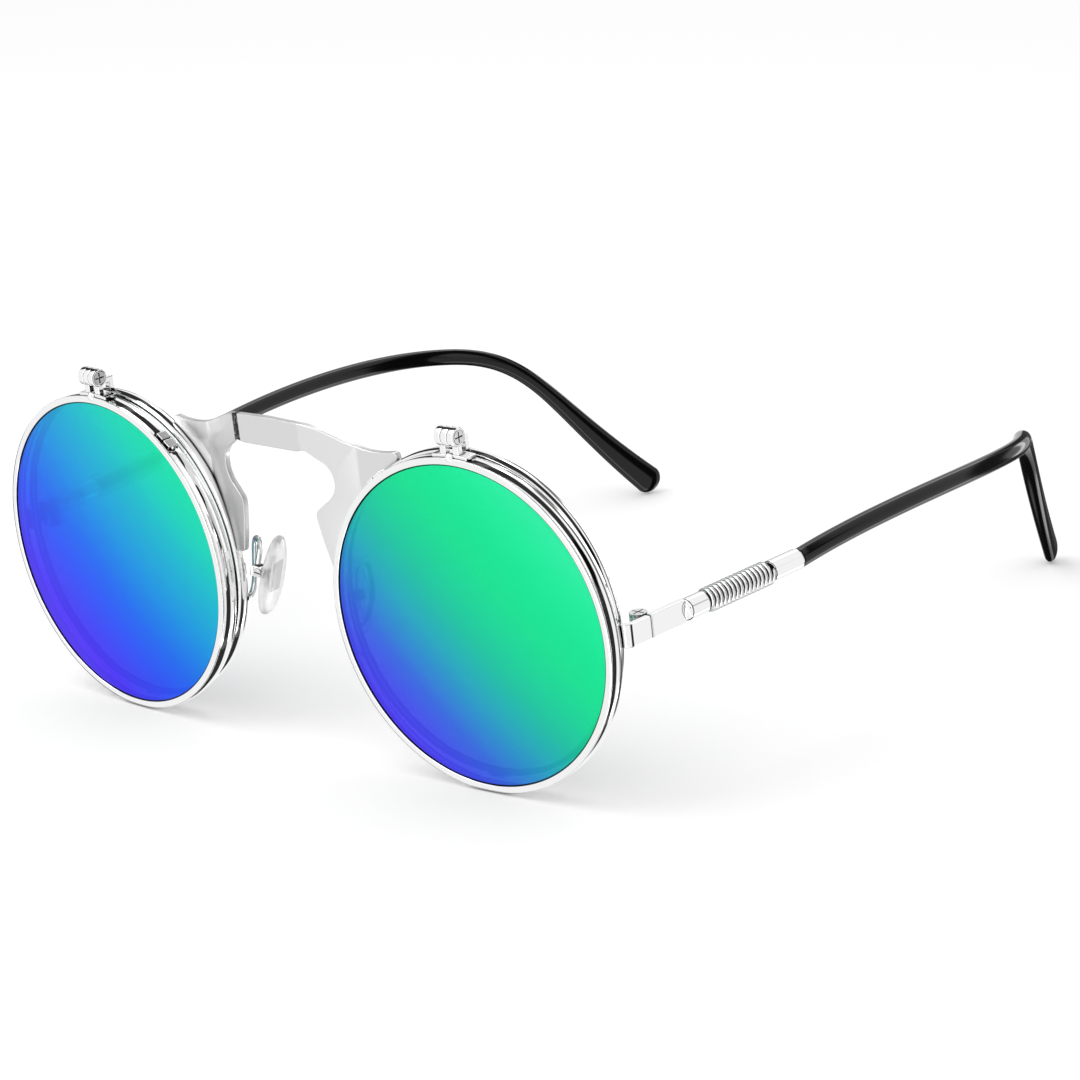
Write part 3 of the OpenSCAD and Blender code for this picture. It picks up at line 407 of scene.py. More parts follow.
def mirrorMaterial(name, centre, colours):
    # Polycarbonate with a vacuum mirror coat whose film thickens across the lens, so that the
    # colour runs from violet through blue and teal to green
    material, tree, shader = newMaterial(name, Metallic=0.8, Roughness=0.06, IOR=1.5, **{
        "Specular IOR Level": 0.0, "Transmission Weight": 1.0})
    place = addNode(tree, "ShaderNodeTexCoord")
    along = addNode(tree, "ShaderNodeVectorMath", [(place.outputs["Object"], 0)],
                    operation="SUBTRACT")
    along.inputs[1].default_value = centre
    dot = addNode(tree, "ShaderNodeVectorMath", [(along.outputs[0], 0)], operation="DOT_PRODUCT")
    angle = math.radians(coat["angle"])
    dot.inputs[1].default_value = (math.cos(angle), 0, math.sin(angle))
    film = addNode(tree, "ShaderNodeTexNoise", [(place.outputs["Object"], "Vector")],
                   Scale=1 / (coat["grain"] * mm), Detail=1.0)
    drift = addNode(tree, "ShaderNodeMapRange", [(film.outputs[0], "Value")],
                    **{"To Min": -coat["drift"] * mm, "To Max": coat["drift"] * mm})
    total = addNode(tree, "ShaderNodeMath", [(dot.outputs["Value"], 0), (drift.outputs[0], 1)],
                    operation="ADD")
    share = addNode(tree, "ShaderNodeMapRange", [(total.outputs[0], "Value")],
                    **{"From Min": -coat["half"] * mm, "From Max": coat["half"] * mm})
    ramp = addNode(tree, "ShaderNodeValToRGB", [(share.outputs[0], "Fac")])
    stops = ramp.color_ramp.elements
    while len(stops) < len(colours):
        stops.new(0.5)
    for stop, position, colour in zip(stops, lensStops, colours):
        stop.position = position
        stop.color = hexColour(colour)
    # painted shade: a thin ring at the lens edge, where the lens meets the rim, darkens to near
    # black
    radius = addNode(tree, "ShaderNodeVectorMath", [(along.outputs[0], 0)], operation="LENGTH")
    seamShadeMask = addNode(tree, "ShaderNodeMapRange", [(radius.outputs["Value"], "Value")],
                     **{"From Min": coat["edgeR"] * mm, "From Max": coat["seamShadeR"] * mm,
                        "To Min": 1.0, "To Max": coat["seamShadeLevel"]})
    tinted = addNode(tree, "ShaderNodeVectorMath",
                     [(ramp.outputs[0], 0), (seamShadeMask.outputs[0], "Scale")], operation="SCALE")
    tree.links.new(tinted.outputs[0], shader.inputs["Base Color"])
    rough = addNode(tree, "ShaderNodeMapRange", [(film.outputs[0], "Value")],
                    **{"To Min": 0.04, "To Max": 0.09})
    tree.links.new(rough.outputs[0], shader.inputs["Roughness"])
    return material


lensColours = {
    "right": ("#4830FF", "#3A49F4", "#2C66E6", "#1D90D2", "#12B3B8", "#0CC7A2", "#08D898",
              "#06E691", "#04EC94", "#0EF39C", "#26F6A7"),
    "left": ("#3F00FF", "#3208FF", "#2232FF", "#0A49FF", "#0062F9", "#007CF0", "#0096E8",
             "#02ADDB", "#04C3CE", "#06D9BC", "#06E8AA"),
}
lensStops = (0.0, 0.117, 0.21, 0.308, 0.4125, 0.5, 0.5875, 0.69, 0.79, 0.883, 1.0)
mirrorCoat = {}
for side in sides:
    centre = toWorld(atFlip([0, 0.5, 0]), sides[side])
    mirrorCoat[side] = mirrorMaterial("mirrorCoat" + side.title(), tuple(centre),
                                      lensColours[side])
print("materials made")


def crown(low, high, r, fall, count=8):
    # band of a rim from front to back: r - fall (2 t - 1)^2, t from 0 to 1
    t = np.linspace(0, 1, count)
    return np.column_stack([r - fall * (2 * t - 1) ** 2, low + (high - low) * t])


def rimProfile(row):
    # section (r, y): a rounded front lip, crowned bands with grooves between, the lens groove
    outerR, lensR, depth, lip, thick, bands = (
        rim[row + key] for key in ("R", "LensR", "Depth", "Lip", "LensThick", "Bands"))
    inner = lensR - rim["cover"]
    groove = lensR + rim["fit"]
    end = lip + thick + 2 * rim["fit"]
    t = np.linspace(0, 1, 7)
    face = np.column_stack([inner + 0.06 + (outerR - rim["shoulder"] - inner) * t,
                            0.07 * (2 * t - 1) ** 2])
    parts = [face]
    for low, high in bands:
        parts.append(crown(low, high, outerR, rim["crown"] * (high - low)))
        if (low, high) != bands[-1]:
            parts.append([[outerR - rim["lineDepth"], high + y] for y in (0.02, 0.13)])
    parts.append([[outerR - rim["shoulder"], depth], [inner, depth], [inner, end], [groove, end],
                  [groove, lip], [inner, lip], [inner, 0.12]])
    return np.concatenate(parts)


def notched(shell, rimR, angle, y):
    # presses the rim's outside down to the floor of the closing block's notch
    points, faces = shell
    c, s = math.cos(math.radians(angle)), math.sin(math.radians(angle))
    out, along = points[:, 0] * c + points[:, 2] * s, points[:, 2] * c - points[:, 0] * s
    half = lock["len"] / 2
    room = (out > 0) & (along > -half) & (along < half + lock["headT"])
    room &= abs(points[:, 1] - y) < lock["w"] / 2
    depth = np.where(room, np.clip(out - (rimR - lock["notch"]), 0, None), 0)
    return points - depth[:, None] * [c, 0, s], faces


def lensShell(row):
    # front y = e + s(r), back y = e + s(r) + thick, with s the sag of a sphere and soft edges
    r, thick, lip = (rim[row + key] for key in ("LensR", "LensThick", "Lip"))
    sag = lambda q: rim["baseR"] - np.sqrt(rim["baseR"] ** 2 - q * q)
    e = lip + rim["fit"] - sag(r)
    q = np.concatenate([np.linspace(0, r - 0.1, 40), [r - 0.03, r]])
    front = e + sag(q)
    front[-2:] += [0.02, 0.08]
    back = e + sag(q) + thick
    back[-2:] -= [0.02, 0.08]
    profile = np.concatenate([np.column_stack([q, front]), np.column_stack([q, back])[::-1]])
    return turned(profile, rim["segments"], closed=False)


lock = {"len": 3.0, "w": 1.7, "notch": 0.4, "rise": 0.4, "slit": 0.24, "headT": 0.4,
        "flipAngle": 127, "flipY": 1.6, "rearAngle": -90, "rearY": 0.95}


def rimRows(side):
    # the two rims of a side: name, place and body
    return ("flip", atFlip, "flip_" + side), ("rear", atRear, "frame")


for side in sides:
    for row, place, body in rimRows(side):
        ring = notched(turned(rounded(rimProfile(row), 0.05, 2), rim["segments"]),
                       rim[row + "R"], lock[row + "Angle"], lock[row + "Y"])
        makePiece(row + "Rim", [ring], place, side, body, plated, row + "_rim", sharp=50)
    lens = makePiece("flipLens", [lensShell("flip")], atFlip, side, "flip_" + side,
                     mirrorCoat[side], "flip_lens")
    # only the front carries the coat, and the floor takes no colour from it
    lens.data.materials.append(smoke)
    normals = np.empty(3 * len(lens.data.polygons))
    lens.data.polygons.foreach_get("normal", normals)
    lens.data.polygons.foreach_set("material_index", (normals[1::3] > 0).astype(int))
    lens.visible_diffuse = False
    makePiece("rearLens", [lensShell("rear")], atRear, side, "frame", resin, "rear_lens")
print("rims and lenses made")


def lockShells():
    # closing block: two boxes with a slit between, X out of the rim, Z along it
    half, fit = lock["len"] / 2, play["seat"]
    low, high, wide = fit - lock["notch"], lock["rise"], lock["w"] / 2 - fit
    return [block((low, -wide, fit - half), (high, wide, -lock["slit"] / 2)),
            block((low, -wide, lock["slit"] / 2), (high, wide, half))]


def edgePlace(rimR, angle, y, outer):
    # from a spot on a rim's edge, X outwards and Z along the rim, to the face frame
    return lambda p: outer(turn(np.array(p, float) + [rimR, y, 0], -angle, "y"))


for side in sides:
    for row, outer, body in rimRows(side):
        place = edgePlace(rim[row + "R"], lock[row + "Angle"], lock[row + "Y"], outer)
        makePiece(row + "Lock", lockShells(), place, side, body, springSteel, row + "_lock",
                  bevel=0.12)

flip = {"rise": 3.0, "back": 1.0, "r": 1.4, "w": 1.1, "gap": 0.06, "pin": 0.6, "head": 1.0,
        "recess": 0.5, "tabT": 0.9, "tabDrop": 0.65, "tabLow": 0.7, "behind": 1.3,
        "footW": 6.2, "footT": 0.5, "footY": (0.4, 2.6), "dome": 0.75}
axisZ = rim["flipR"] + flip["rise"]
axisAt = (0, flip["back"], axisZ)
for side in sides:
    step, half, thick = flip["w"] + flip["gap"], flip["w"] / 2, flip["tabT"]
    shells = []
    for k in (-1, 1):
        low, high = k * step - half, k * step + half
        if k * sides[side] > 0:
            # outer knuckle with a counterbore for the screw head, turned about the pin
            inner, outer = (low, high) if k > 0 else (high, low)
            floor, bore = outer - flip["recess"] * k, flip["head"] + play["seat"]
            profile = rounded([[flip["pin"], inner], [flip["r"], inner], [flip["r"], outer],
                               [bore, outer], [bore, floor], [flip["pin"], floor]], 0.1)
            shell, faces = turned(profile, 48)
            shells.append((shell[:, [1, 0, 2]] + list(axisAt), faces))
        else:
            shells.append(bar(flip["r"], low, high, "x", axisAt, 0.12, flip["pin"] + play["seat"]))
        shells.append(block((low, flip["back"] - thick / 2, rim["flipR"] - 0.1),
                            (high, flip["back"] + thick / 2, axisZ - 1.1)))
    # the foot follows the rim: an arc of a ring, as wide as the foot
    halfAngle = math.degrees(math.asin(flip["footW"] / 2 / rim["flipR"]))
    outer = arc((0, 0), rim["flipR"] + flip["footT"], 90 - halfAngle, 90 + halfAngle, 24)
    inner = arc((0, 0), rim["flipR"] - 0.05, 90 + halfAngle, 90 - halfAngle, 24)
    shells.append(prism(np.concatenate([outer, inner]), *flip["footY"], "y"))
    # solder dome: a half sphere of small radius on the foot's front
    ball, ballFaces = turned(arc((0, 0), flip["dome"], -90, 90, 16), 32, closed=False)
    shells.append((ball + [0.1, 0.5, rim["flipR"]], ballFaces))
    makePiece("flipKnuckle", shells, atFlip, side, "flip_" + side, plated, "flip_knuckle",
              bevel=0.12)
    # the bracket's tab runs back over the rims and turns down behind the rear one
    front, back = flip["back"] + 0.9, rim["flipDepth"] + flip["behind"]
    tabTop, tabLow = axisZ - flip["tabDrop"], rim["rearR"] + flip["tabLow"]
    tab = [[front, tabTop], [back, tabTop], [back, tabLow], [back - thick, tabLow],
           [back - thick, tabTop - thick], [front, tabTop - thick]]
    shells = [bar(flip["r"], -half, half, "x", axisAt, 0.1, flip["pin"] + play["pin"]),
              prism(tab, -half, half, "x")]
    makePiece("flipBracket", shells, atFlip, side, "frame", plated, "flip_bracket", bevel=0.12)
print("flip hinges made")

bridge = {"gap": 23.0, "t": 1.0, "flat": 6.3, "h": 4.55, "rise": 0.95, "fold": 14.5, "key": 3.65,
          "noseY": 1.84831, "foldR": 2.0, "offset": 0.5, "soft": 0.14, "step": 0.22, "ease": 0.25,
          "lap": 0.05}
bridgeEnd = bridge["gap"] / 2 + 4  # from here on the plate lies along the rims


def bridgeOutline():
    # right half of the flat outline, clockwise from the top middle: curves, arcs and straights
    nose = bridge["gap"] / 2
    top = rim["rearRise"] + rim["rearR"]
    rise = top + bridge["rise"]
    under = rise - bridge["h"]
    keyAt = np.array([nose - 3.9, top - 8])
    shoulder = np.array([bridge["flat"], rise - 0.2])
    dip = np.array([nose + 5.5, top - 2.6])
    end = np.array([nose + 11, top - 2.35])
    return np.concatenate([
        [[0, rise]], bezier(shoulder, shoulder + [3.6, -0.25], dip + [-4, 0.6], dip, 16),
        bezier(dip, dip + [2, -0.2], end + [-2, -0.4], end, 6, 1)[:-1],
        arc(end + [0, -0.6], 0.6, 95, -20, 6),
        [[nose + 11.7, top - 5.8], [nose + 5, top - 11.8], [nose + 3, top - 21.6]],
        arc([nose - 1.2, top - 20.4], 1.2, 270, 190, 8),
        [[nose - 3.3, top - 17], [nose - 3.9, top - 13.8]],
        arc([nose - 3.3, top - 12.95], 0.6, 180, 115, 6),
        arc(keyAt, bridge["key"], -60, 68, 40),
        [[nose - 4.6, under + 0.35], [nose - 6, under], [0, under]],
    ])


def bridgeFold():
    # where the fold starts and ends, from the middle
    run = bridge["foldR"] * math.tan(math.radians(bridge["fold"] / 2))
    x0 = bridge["flat"] - run
    return x0, x0 + bridge["foldR"] * math.sin(math.radians(bridge["fold"]))


def bridgeFront(x):
    # distance of the plate's front from the lens plane: flat, a bend of the fold radius, a slope,
    # then along the rims' front once it lies on them
    x = np.abs(x)
    tanFold = math.tan(math.radians(bridge["fold"]))
    base = bridge["noseY"] + bridge["offset"] - (bridge["gap"] / 2 - bridge["flat"]) * tanFold
    x0, xEnd = bridgeFold()
    u = np.clip(x - x0, 0, xEnd - x0)
    bend = bridge["foldR"] - np.sqrt(bridge["foldR"] ** 2 - u * u)
    slope = np.clip(x - xEnd, 0, None) * tanFold
    y = base + bend + slope
    limit = base + (bridgeEnd - bridge["flat"]) * tanFold
    along = limit + (x - bridgeEnd) * math.tan(math.radians(standing["wrap"]))
    return np.minimum(y, np.where(x > bridgeEnd, along, y))


def meetColumns(points, columns):
    # adds the points where the outline crosses a column, and drops their near neighbours
    ahead = np.roll(points, -1, 0)
    row, column = np.nonzero((points[:, :1] - columns) * (ahead[:, :1] - columns) < 0)
    share = (columns[column] - points[row, 0]) / (ahead[row, 0] - points[row, 0])
    height = points[row, 1] + share * (ahead[row, 1] - points[row, 1])
    order = np.argsort(np.concatenate([np.arange(len(points)), row + share]))
    points = np.concatenate([points, np.column_stack([columns[column], height])])[order]
    fixed = np.any(np.abs(points[:, :1] - columns) < 1e-7, axis=1)
    close = np.linalg.norm(np.roll(points, -1, 0) - points, axis=1) < 0.1
    drop = ~fixed & ((close & np.roll(fixed, -1)) | np.roll(close & fixed, 1))
    return points[~drop]


def evenSteps(points, step):
    # a path cut again into steps of one length
    run = np.concatenate([[0], np.cumsum(np.linalg.norm(np.diff(points, axis=0), axis=1))])
    at = np.linspace(0, run[-1], int(run[-1] / step) + 1)
    return np.column_stack([np.interp(at, run, points[:, 0]), np.interp(at, run, points[:, 1])])


def loopNormals(loop):
    # outward normals of a closed outline that runs counter-clockwise
    run = np.roll(loop, -1, 0) - np.roll(loop, 1, 0)
    return np.column_stack([run[:, 1], -run[:, 0]]) / np.linalg.norm(run, axis=1)[:, None]


def bridgePiece():
    # the half outline, cut off along the rear rim: the points inside the rim give way to its arc
    half = evenSteps(bridgeOutline(), bridge["step"])
    out = half - [rim["rearX"], rim["rearRise"]]
    reach = rim["rearR"] - bridge["lap"]
    inside = np.nonzero(np.linalg.norm(out, axis=1) < reach)[0]
    cut = out[inside[[0, -1]]]
    a0, a1 = np.arctan2(cut[:, 1], cut[:, 0]) % (2 * math.pi)
    a = np.linspace(a0, a1, int(reach * abs(a1 - a0) / bridge["step"]))
    edge = np.column_stack([rim["rearX"] + reach * np.cos(a), rim["rearRise"] + reach * np.sin(a)])
    half = np.concatenate([half[:inside[0]], edge, half[inside[-1] + 1:]])
    loop = np.concatenate([half, (half * [-1, 1])[-2:0:-1]])[::-1]
    for _ in range(3):
        loop = (np.roll(loop, 1, 0) + 2 * loop + np.roll(loop, -1, 0)) / 4
    # the flat face stops short of the outline by the edge radius, and has edges across the plate
    # that keep its facets in line with the folds
    loop = loop - loopNormals(loop) * bridge["soft"]
    x0, x1 = bridgeFold()
    ease = bridge["ease"]
    columns = np.concatenate([[x0 - ease], np.linspace(x0, x1, 7), [x1 + ease],
                              [bridgeEnd - ease, bridgeEnd, bridgeEnd + ease]])
    columns = np.concatenate([-columns[::-1], [0], columns])
    loop = meetColumns(loop, columns)
    normals = loopNormals(loop)
    count = len(loop)
    ends = np.array([loop[:, 1].min() - 1, loop[:, 1].max() + 1])
    posts = np.column_stack([np.repeat(columns, 2), np.tile(ends, len(columns))])
    edges = (count + np.arange(2 * len(columns))).reshape(-1, 2).tolist()
    verts, _, faces, _, _, origins = delaunay_2d_cdt(
        [Vector(p) for p in np.concatenate([loop, posts])], edges, [list(range(count))], 1, 1e-5)
    flat = np.array([list(v) for v in verts])
    nearest = np.argmin(np.linalg.norm(flat[:, None] - loop[None], axis=2), axis=1)
    faces = nearest[np.array([f for f, origin in zip(faces, origins) if origin])]
    faces = faces[[len(set(f)) == 3 for f in faces.tolist()]]
    # the edge: outline point p(u) = loop + r cos(u) n, depth = r (1 - sin(u)), with u from 90 to 0
    # degrees at the front and back again at the rear
    u = np.radians([90, 60, 48, 36, 24, 12, 0])
    out = bridge["soft"] * np.cos(u)
    deep = bridge["soft"] * (1 - np.sin(u))
    out = np.concatenate([out, out[::-1]])
    deep = np.concatenate([deep, bridge["t"] - deep[::-1]])
    rings = loop + out[:, None, None] * normals
    x = rings[..., 0]
    points = np.stack([x, bridgeFront(x) + deep[:, None], rings[..., 1]], -1)
    k, i = np.meshgrid(np.arange(len(out) - 1) * count, np.arange(count), indexing="ij")
    j = (i + 1) % count
    walls = np.stack([k + j, k + i, k + count + i, k + count + j], -1).reshape(-1, 4)
    back = faces[:, ::-1] + (len(out) - 1) * count
    return points.reshape(-1, 3), faces.tolist() + back.tolist() + walls.tolist()


makePiece("bridgePlate", [bridgePiece()], lambda p: p, "", "frame", pressedPlate, "bridge",
          sharp=14)
print("bridge made")

lug = {"earX": 60.2519, "earY": 4.91249, "side": 5.0, "corner": 1.2, "h": 3.4, "low": -0.95,
       "rise": 0.15, "stripH": 3.5, "inner": 0.35, "lap": 0.45}
shaft = {"x": 1.9, "z": 0.8}


def endpieceShell():
    # plan: an L with rounded corner; its height changes evenly along the second leg
    out = hinge["x"] + hinge["stripIn"] + hinge["stripT"]
    y0, y1 = lug["earY"], lug["earY"] + lug["side"]
    r, ri = lug["corner"], lug["inner"]
    outer = arc((out - r, y0 + r), r, -90, 0, 8)
    innerArc = arc((out - hinge["stripT"] - ri, y0 + hinge["stripT"] + ri), ri, 0, -90, 6)
    inside = lug["earX"] - lug["lap"]
    plan = np.concatenate([[[inside, y0]], outer, [[out, y1], [out - hinge["stripT"], y1]],
                           innerArc, [[inside, y0 + hinge["stripT"]]]])
    share = np.clip((plan[:, 1] - y0 - r) / (lug["side"] - r), 0, 1)
    low = lug["low"] + lug["rise"] * (1 - share)
    high = lug["low"] + (lug["rise"] + lug["h"]) * (1 - share) + (lug["stripH"] - 0.1) * share
    grid = np.stack([np.column_stack([plan, low]), np.column_stack([plan, high])])
    return gridShell(grid, wrapV=True, caps=True)


leafOut = hinge["stripIn"] - play["seat"]  # the leaves end at the strips' inner faces
for side in sides:
    temple = "temple_" + side
    makePiece("endpiece", [endpieceShell()], lambda p: p, side, "frame", plated, "endpiece",
              bevel=0.16)
    third = (hinge["height"] - 2 * hinge["gap"]) / 3
    lows = [hinge["low"], hinge["low"] + 2 * (third + hinge["gap"])]
    centre = (hinge["x"], hinge["y"], 0)
    shells = []
    for z in lows:
        shells.append(bar(hinge["r"], z, z + third, "z", centre, 0.1, hinge["pin"] + play["pin"]))
        shells.append(block((hinge["x"] + hinge["leafIn"], hinge["y"] - hinge["leafLen"], z),
                            (hinge["x"] + leafOut, hinge["y"] - hinge["inset"], z + third)))
    makePiece("frontHinge", shells, lambda p: p, side, "frame", plated, "front_hinge", bevel=0.08)
    z = hinge["low"] + third + hinge["gap"]
    shells = [bar(hinge["r"], z, z + third, "z", (0, 0, 0), 0.1, hinge["pin"] + play["pin"]),
              block((hinge["leafIn"], hinge["inset"], z), (leafOut, 1.4, z + third)),
              block((hinge["plateIn"], 1.1, z), (leafOut, hinge["plateLen"], z + third))]
    makePiece("templeHinge", shells, atTemple, side, temple, plated, "temple_hinge", bevel=0.08)
print("endpieces and hinges made")

arm = {"stripLen": 7.0, "ferruleD": 3.2, "ferruleLen": 4.3, "lap": 0.5, "springD": 3.7,
       "wire": 0.56, "curls": 15, "pitch": 0.84, "run": 0.45, "rodD": 1.9, "collarD": 3.2,
       "collarLen": 6.0, "sleeveD": 2.9, "bendD": 2.75, "tipW": 5.0, "tipT": 2.4, "lead": 0.7,
       "cap": 2.2}
ferruleStart = arm["stripLen"] - arm["lap"]
springStart = ferruleStart + arm["ferruleLen"]
collarStart = springStart + arm["curls"] * arm["pitch"] + 2 * arm["run"]
sleeveStart = collarStart + arm["collarLen"]
mouth = np.array([shaft["x"], sleeveStart, shaft["z"]])
curveStart = mouth + [0, arm["lead"], 0]
curveBend = curveStart + [-8.4, 60, -1.96]
curveTip = curveBend + [-19.7, 28.6, -31]
handleBend = np.array([9, -11, 2.2])
handleTip = np.array([9.85, -15.84, 19.05])


def sleeveShell():
    # two joined cubic curves; the section goes from round to the flat tip and closes round
    straight = bezier(curveStart, curveStart + [0, 21.2, 2.4], curveBend + handleBend,
                      curveBend, 60)
    hook = bezier(curveBend, curveBend - handleBend / np.linalg.norm(handleBend) * 15,
                  curveTip + handleTip, curveTip, 80, 1)
    tipDir = -handleTip / np.linalg.norm(handleTip)
    capMid = curveTip - tipDir * arm["cap"]
    hook = hook[(capMid - hook) @ tipDir > 0.15]
    turns = np.radians(np.linspace(0, 86, 15))
    cap = capMid + tipDir * (arm["cap"] * np.sin(turns))[:, None]
    # the mouth has a small rolled edge
    lead = mouth + np.array([[0, 0.02, 0], [0, 0.08, 0], [0, 0.2, 0], [0, 0.4, 0]])
    path = np.concatenate([lead, straight, hook, cap])
    first, capFirst = len(lead) + len(straight) - 1, len(path) - len(cap)
    i = np.arange(len(path))
    u = np.clip((i - first) / (capFirst - first), 0, 1)
    swell = np.where(i <= first, 0, np.clip((u - 0.45) / 0.55, 0, 1) ** 1.6)
    thin = np.clip(i / (first + 30), 0, 1)
    roundD = arm["sleeveD"] + (arm["bendD"] - arm["sleeveD"]) * thin
    scale = np.ones(len(path))
    scale[capFirst:] = np.cos(turns)
    scale[:len(lead)] = [0.93, 0.97, 0.995, 1]
    across = scale * (roundD * (1 - swell) + arm["tipT"] * swell) / 2
    upright = scale * (roundD * (1 - swell) + arm["tipW"] * swell) / 2
    return swept(path, np.tile([0.0, 0, 1], (len(path), 1)), across, upright, 40)


def springShell():
    # helix round the rod: (x + r cos a, y0 + pitch a / 360, z + r sin a), with straight end runs
    r = (arm["springD"] - arm["wire"]) / 2
    rings = 28
    a = np.linspace(0, 360 * arm["curls"], arm["curls"] * rings + 1)
    y = springStart + arm["run"] + arm["pitch"] * a / 360
    a = np.concatenate([[-24, -24], a, [360 * arm["curls"] + 24] * 2])
    y = np.concatenate([[springStart + play["seat"], springStart + arm["wire"] * 0.6], y,
                        [collarStart - arm["wire"] * 0.6, collarStart - play["seat"]]])
    c, s = np.cos(np.radians(a)), np.sin(np.radians(a))
    path = np.column_stack([shaft["x"] + r * c, y, shaft["z"] + r * s])
    guides = np.column_stack([c, 0 * c, s])
    size = np.full(len(path), arm["wire"] / 2)
    return swept(path, guides, size, size, 12)


def ferruleShell():
    # profile (r, y): an elliptic nose (r sin a, 0.55 r (1 - cos a)), then a straight wall
    r = arm["ferruleD"] / 2
    a = np.radians(np.linspace(0, 90, 17))
    nose = np.column_stack([r * np.sin(a), ferruleStart + r * 0.55 * (1 - np.cos(a))])
    end = ferruleStart + arm["ferruleLen"]
    profile = np.concatenate([nose, [[r, nose[-1, 1] + 0.05], [r, end - 0.3], [r, end - 0.25],
                                     [r - 0.05, end - 0.08], [r - 0.2, end], [0, end]]])
    shell, faces = turned(profile, 64, closed=False)
    return shell + [shaft["x"], 0, shaft["z"]], faces


for side in sides:
    temple = "temple_" + side
    x0, x1 = hinge["stripIn"], hinge["stripIn"] + hinge["stripT"]
    s, c = math.sin(math.radians(standing["splay"])), math.cos(math.radians(standing["splay"]))
    plan = [[x0, (-0.04 + x0 * s) / c], [x1, (-0.04 + x1 * s) / c], [x1, arm["stripLen"]],
            [x0, arm["stripLen"]]]
    low = shaft["z"] - lug["stripH"] / 2
    makePiece("templeStrip", [prism(plan, low, low + lug["stripH"])], atTemple, side, temple,
              plated, "temple_strip", bevel=0.16)
    makePiece("ferrule", [ferruleShell()], atTemple, side, temple, plated, "ferrule")
    makePiece("springCoil", [springShell()], atTemple, side, temple, springSteel, "spring")
    rodAt = (shaft["x"], 0, shaft["z"])
    makePiece("springRod",
              [bar(arm["rodD"] / 2, springStart - 0.5, collarStart + 0.5, "y", rodAt, 0.1)],
              atTemple, side, temple, rodSteel, "core_wire")
    makePiece("collar",
              [bar(arm["collarD"] / 2, collarStart, sleeveStart, "y", rodAt, 0.18, 0, 64)],
              atTemple, side, temple, plated, "collar")
    makePiece("earSleeve", [sleeveShell()], atTemple, side, temple, acetate, "sleeve")
print("temples made")


def padShell():
    # width w/2 (1 - u^2)^0.42, thickness t/2 (1 - u^2)^0.35 along the pad, u from -1 to 1
    turns = np.radians(np.linspace(4, 176, 44))
    u = -np.cos(turns)
    path = np.column_stack([0 * u, 0 * u, u * pad["len"] / 2])
    across = pad["w"] / 2 * np.clip(1 - u * u, 0, 1) ** 0.42 * (1 - 0.12 * u)
    thick = pad["t"] / 2 * np.clip(1 - u * u, 0, 1) ** 0.35
    return swept(path, np.tile([1.0, 0, 0], (len(path), 1)), across, thick, 48)


def padArmPath():
    # from the foot on the rear rim, up over a loop and down into the box
    lead = pad["lead"]
    endX = pad["reach"] + pad["boxBack"] - pad["wire"] / 2 - 0.15
    end, endLead, endUp = (atPad(np.array([endX, 0, pad["boxR"] + z]))
                           for z in (play["seat"], play["seat"] + lead, 2.2))
    footR = rim["rearR"] - 0.65 + pad["wire"] / 4
    dx = -math.sqrt(footR ** 2 - pad["footDrop"] ** 2)
    w = math.radians(standing["wrap"])
    back = np.array([-math.sin(w), math.cos(w), 0])
    foot = np.array([rim["rearX"] + dx * math.cos(w), rim["rearY"] + dx * math.sin(w),
                     rim["rearRise"] - pad["footDrop"]]) + back * (rim["rearDepth"] + play["seat"])
    footLead = foot + back * lead
    top = end + [0.9, 1.4, pad["loop"]]
    rising = bezier(footLead, footLead + [0.2, 2.8, 0.5], top + [1.9, 0.4, -0.2], top, 28)
    falling = bezier(top, top + [-1.3, -0.27, 0.14], endUp, endLead, 24, 1)
    return np.concatenate([[foot], rising, falling, [end]])


for side in sides:
    makePiece("nosePad", [padShell()], atPad, side, "pad_" + side, silicone, "nose_pad",
              sharp=60)
    ear = np.concatenate([[[0.1, -pad["lugR"]]], arc((pad["reach"], 0), pad["lugR"], -90, 90, 12),
                          [[0.1, pad["lugR"]]]])
    shells = [block([-half for half in pad["insert"]], pad["insert"]),
              prism(ear, -pad["lugW"] / 2, pad["lugW"] / 2, "y")]
    makePiece("padInsert", shells, atPad, side, "pad_" + side, screwSteel, "pad_insert", bevel=0.1)
    slotHalf = pad["lugW"] / 2 + 0.06
    boxEnd = pad["reach"] + pad["boxBack"]
    cheek = np.concatenate([[[boxEnd, -pad["boxR"]], [boxEnd, pad["boxR"]]],
                            arc((pad["reach"], 0), pad["boxR"], 90, 270, 12)])
    shells = [prism(cheek, slotHalf, slotHalf + pad["cheek"], "y"),
              prism(cheek, -slotHalf - pad["cheek"], -slotHalf, "y"),
              block((pad["reach"] + pad["lugR"] + 0.15, -slotHalf - 0.1, -pad["boxR"]),
                    (boxEnd, slotHalf + 0.1, pad["boxR"]))]
    makePiece("padBox", shells, atPad, side, "frame", plated, "pad_box", bevel=0.1)
    path = padArmPath()
    size = np.full(len(path), pad["wire"] / 2)
    wire = swept(path, np.tile([1.0, -1, 0], (len(path), 1)), size, size, 20)
    makePiece("padArm", [wire], lambda p: p, side, "frame", plated, "pad_arm")
    for node in ("flip_screw", "hinge_screw", "flip_lock_screw", "rear_lock_screw", "pad_screw"):
        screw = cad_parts[node + "_" + side]
        for held in screw.material_slots:
            held.link = "OBJECT"
            held.material = screwSteel
print("nose pads made")

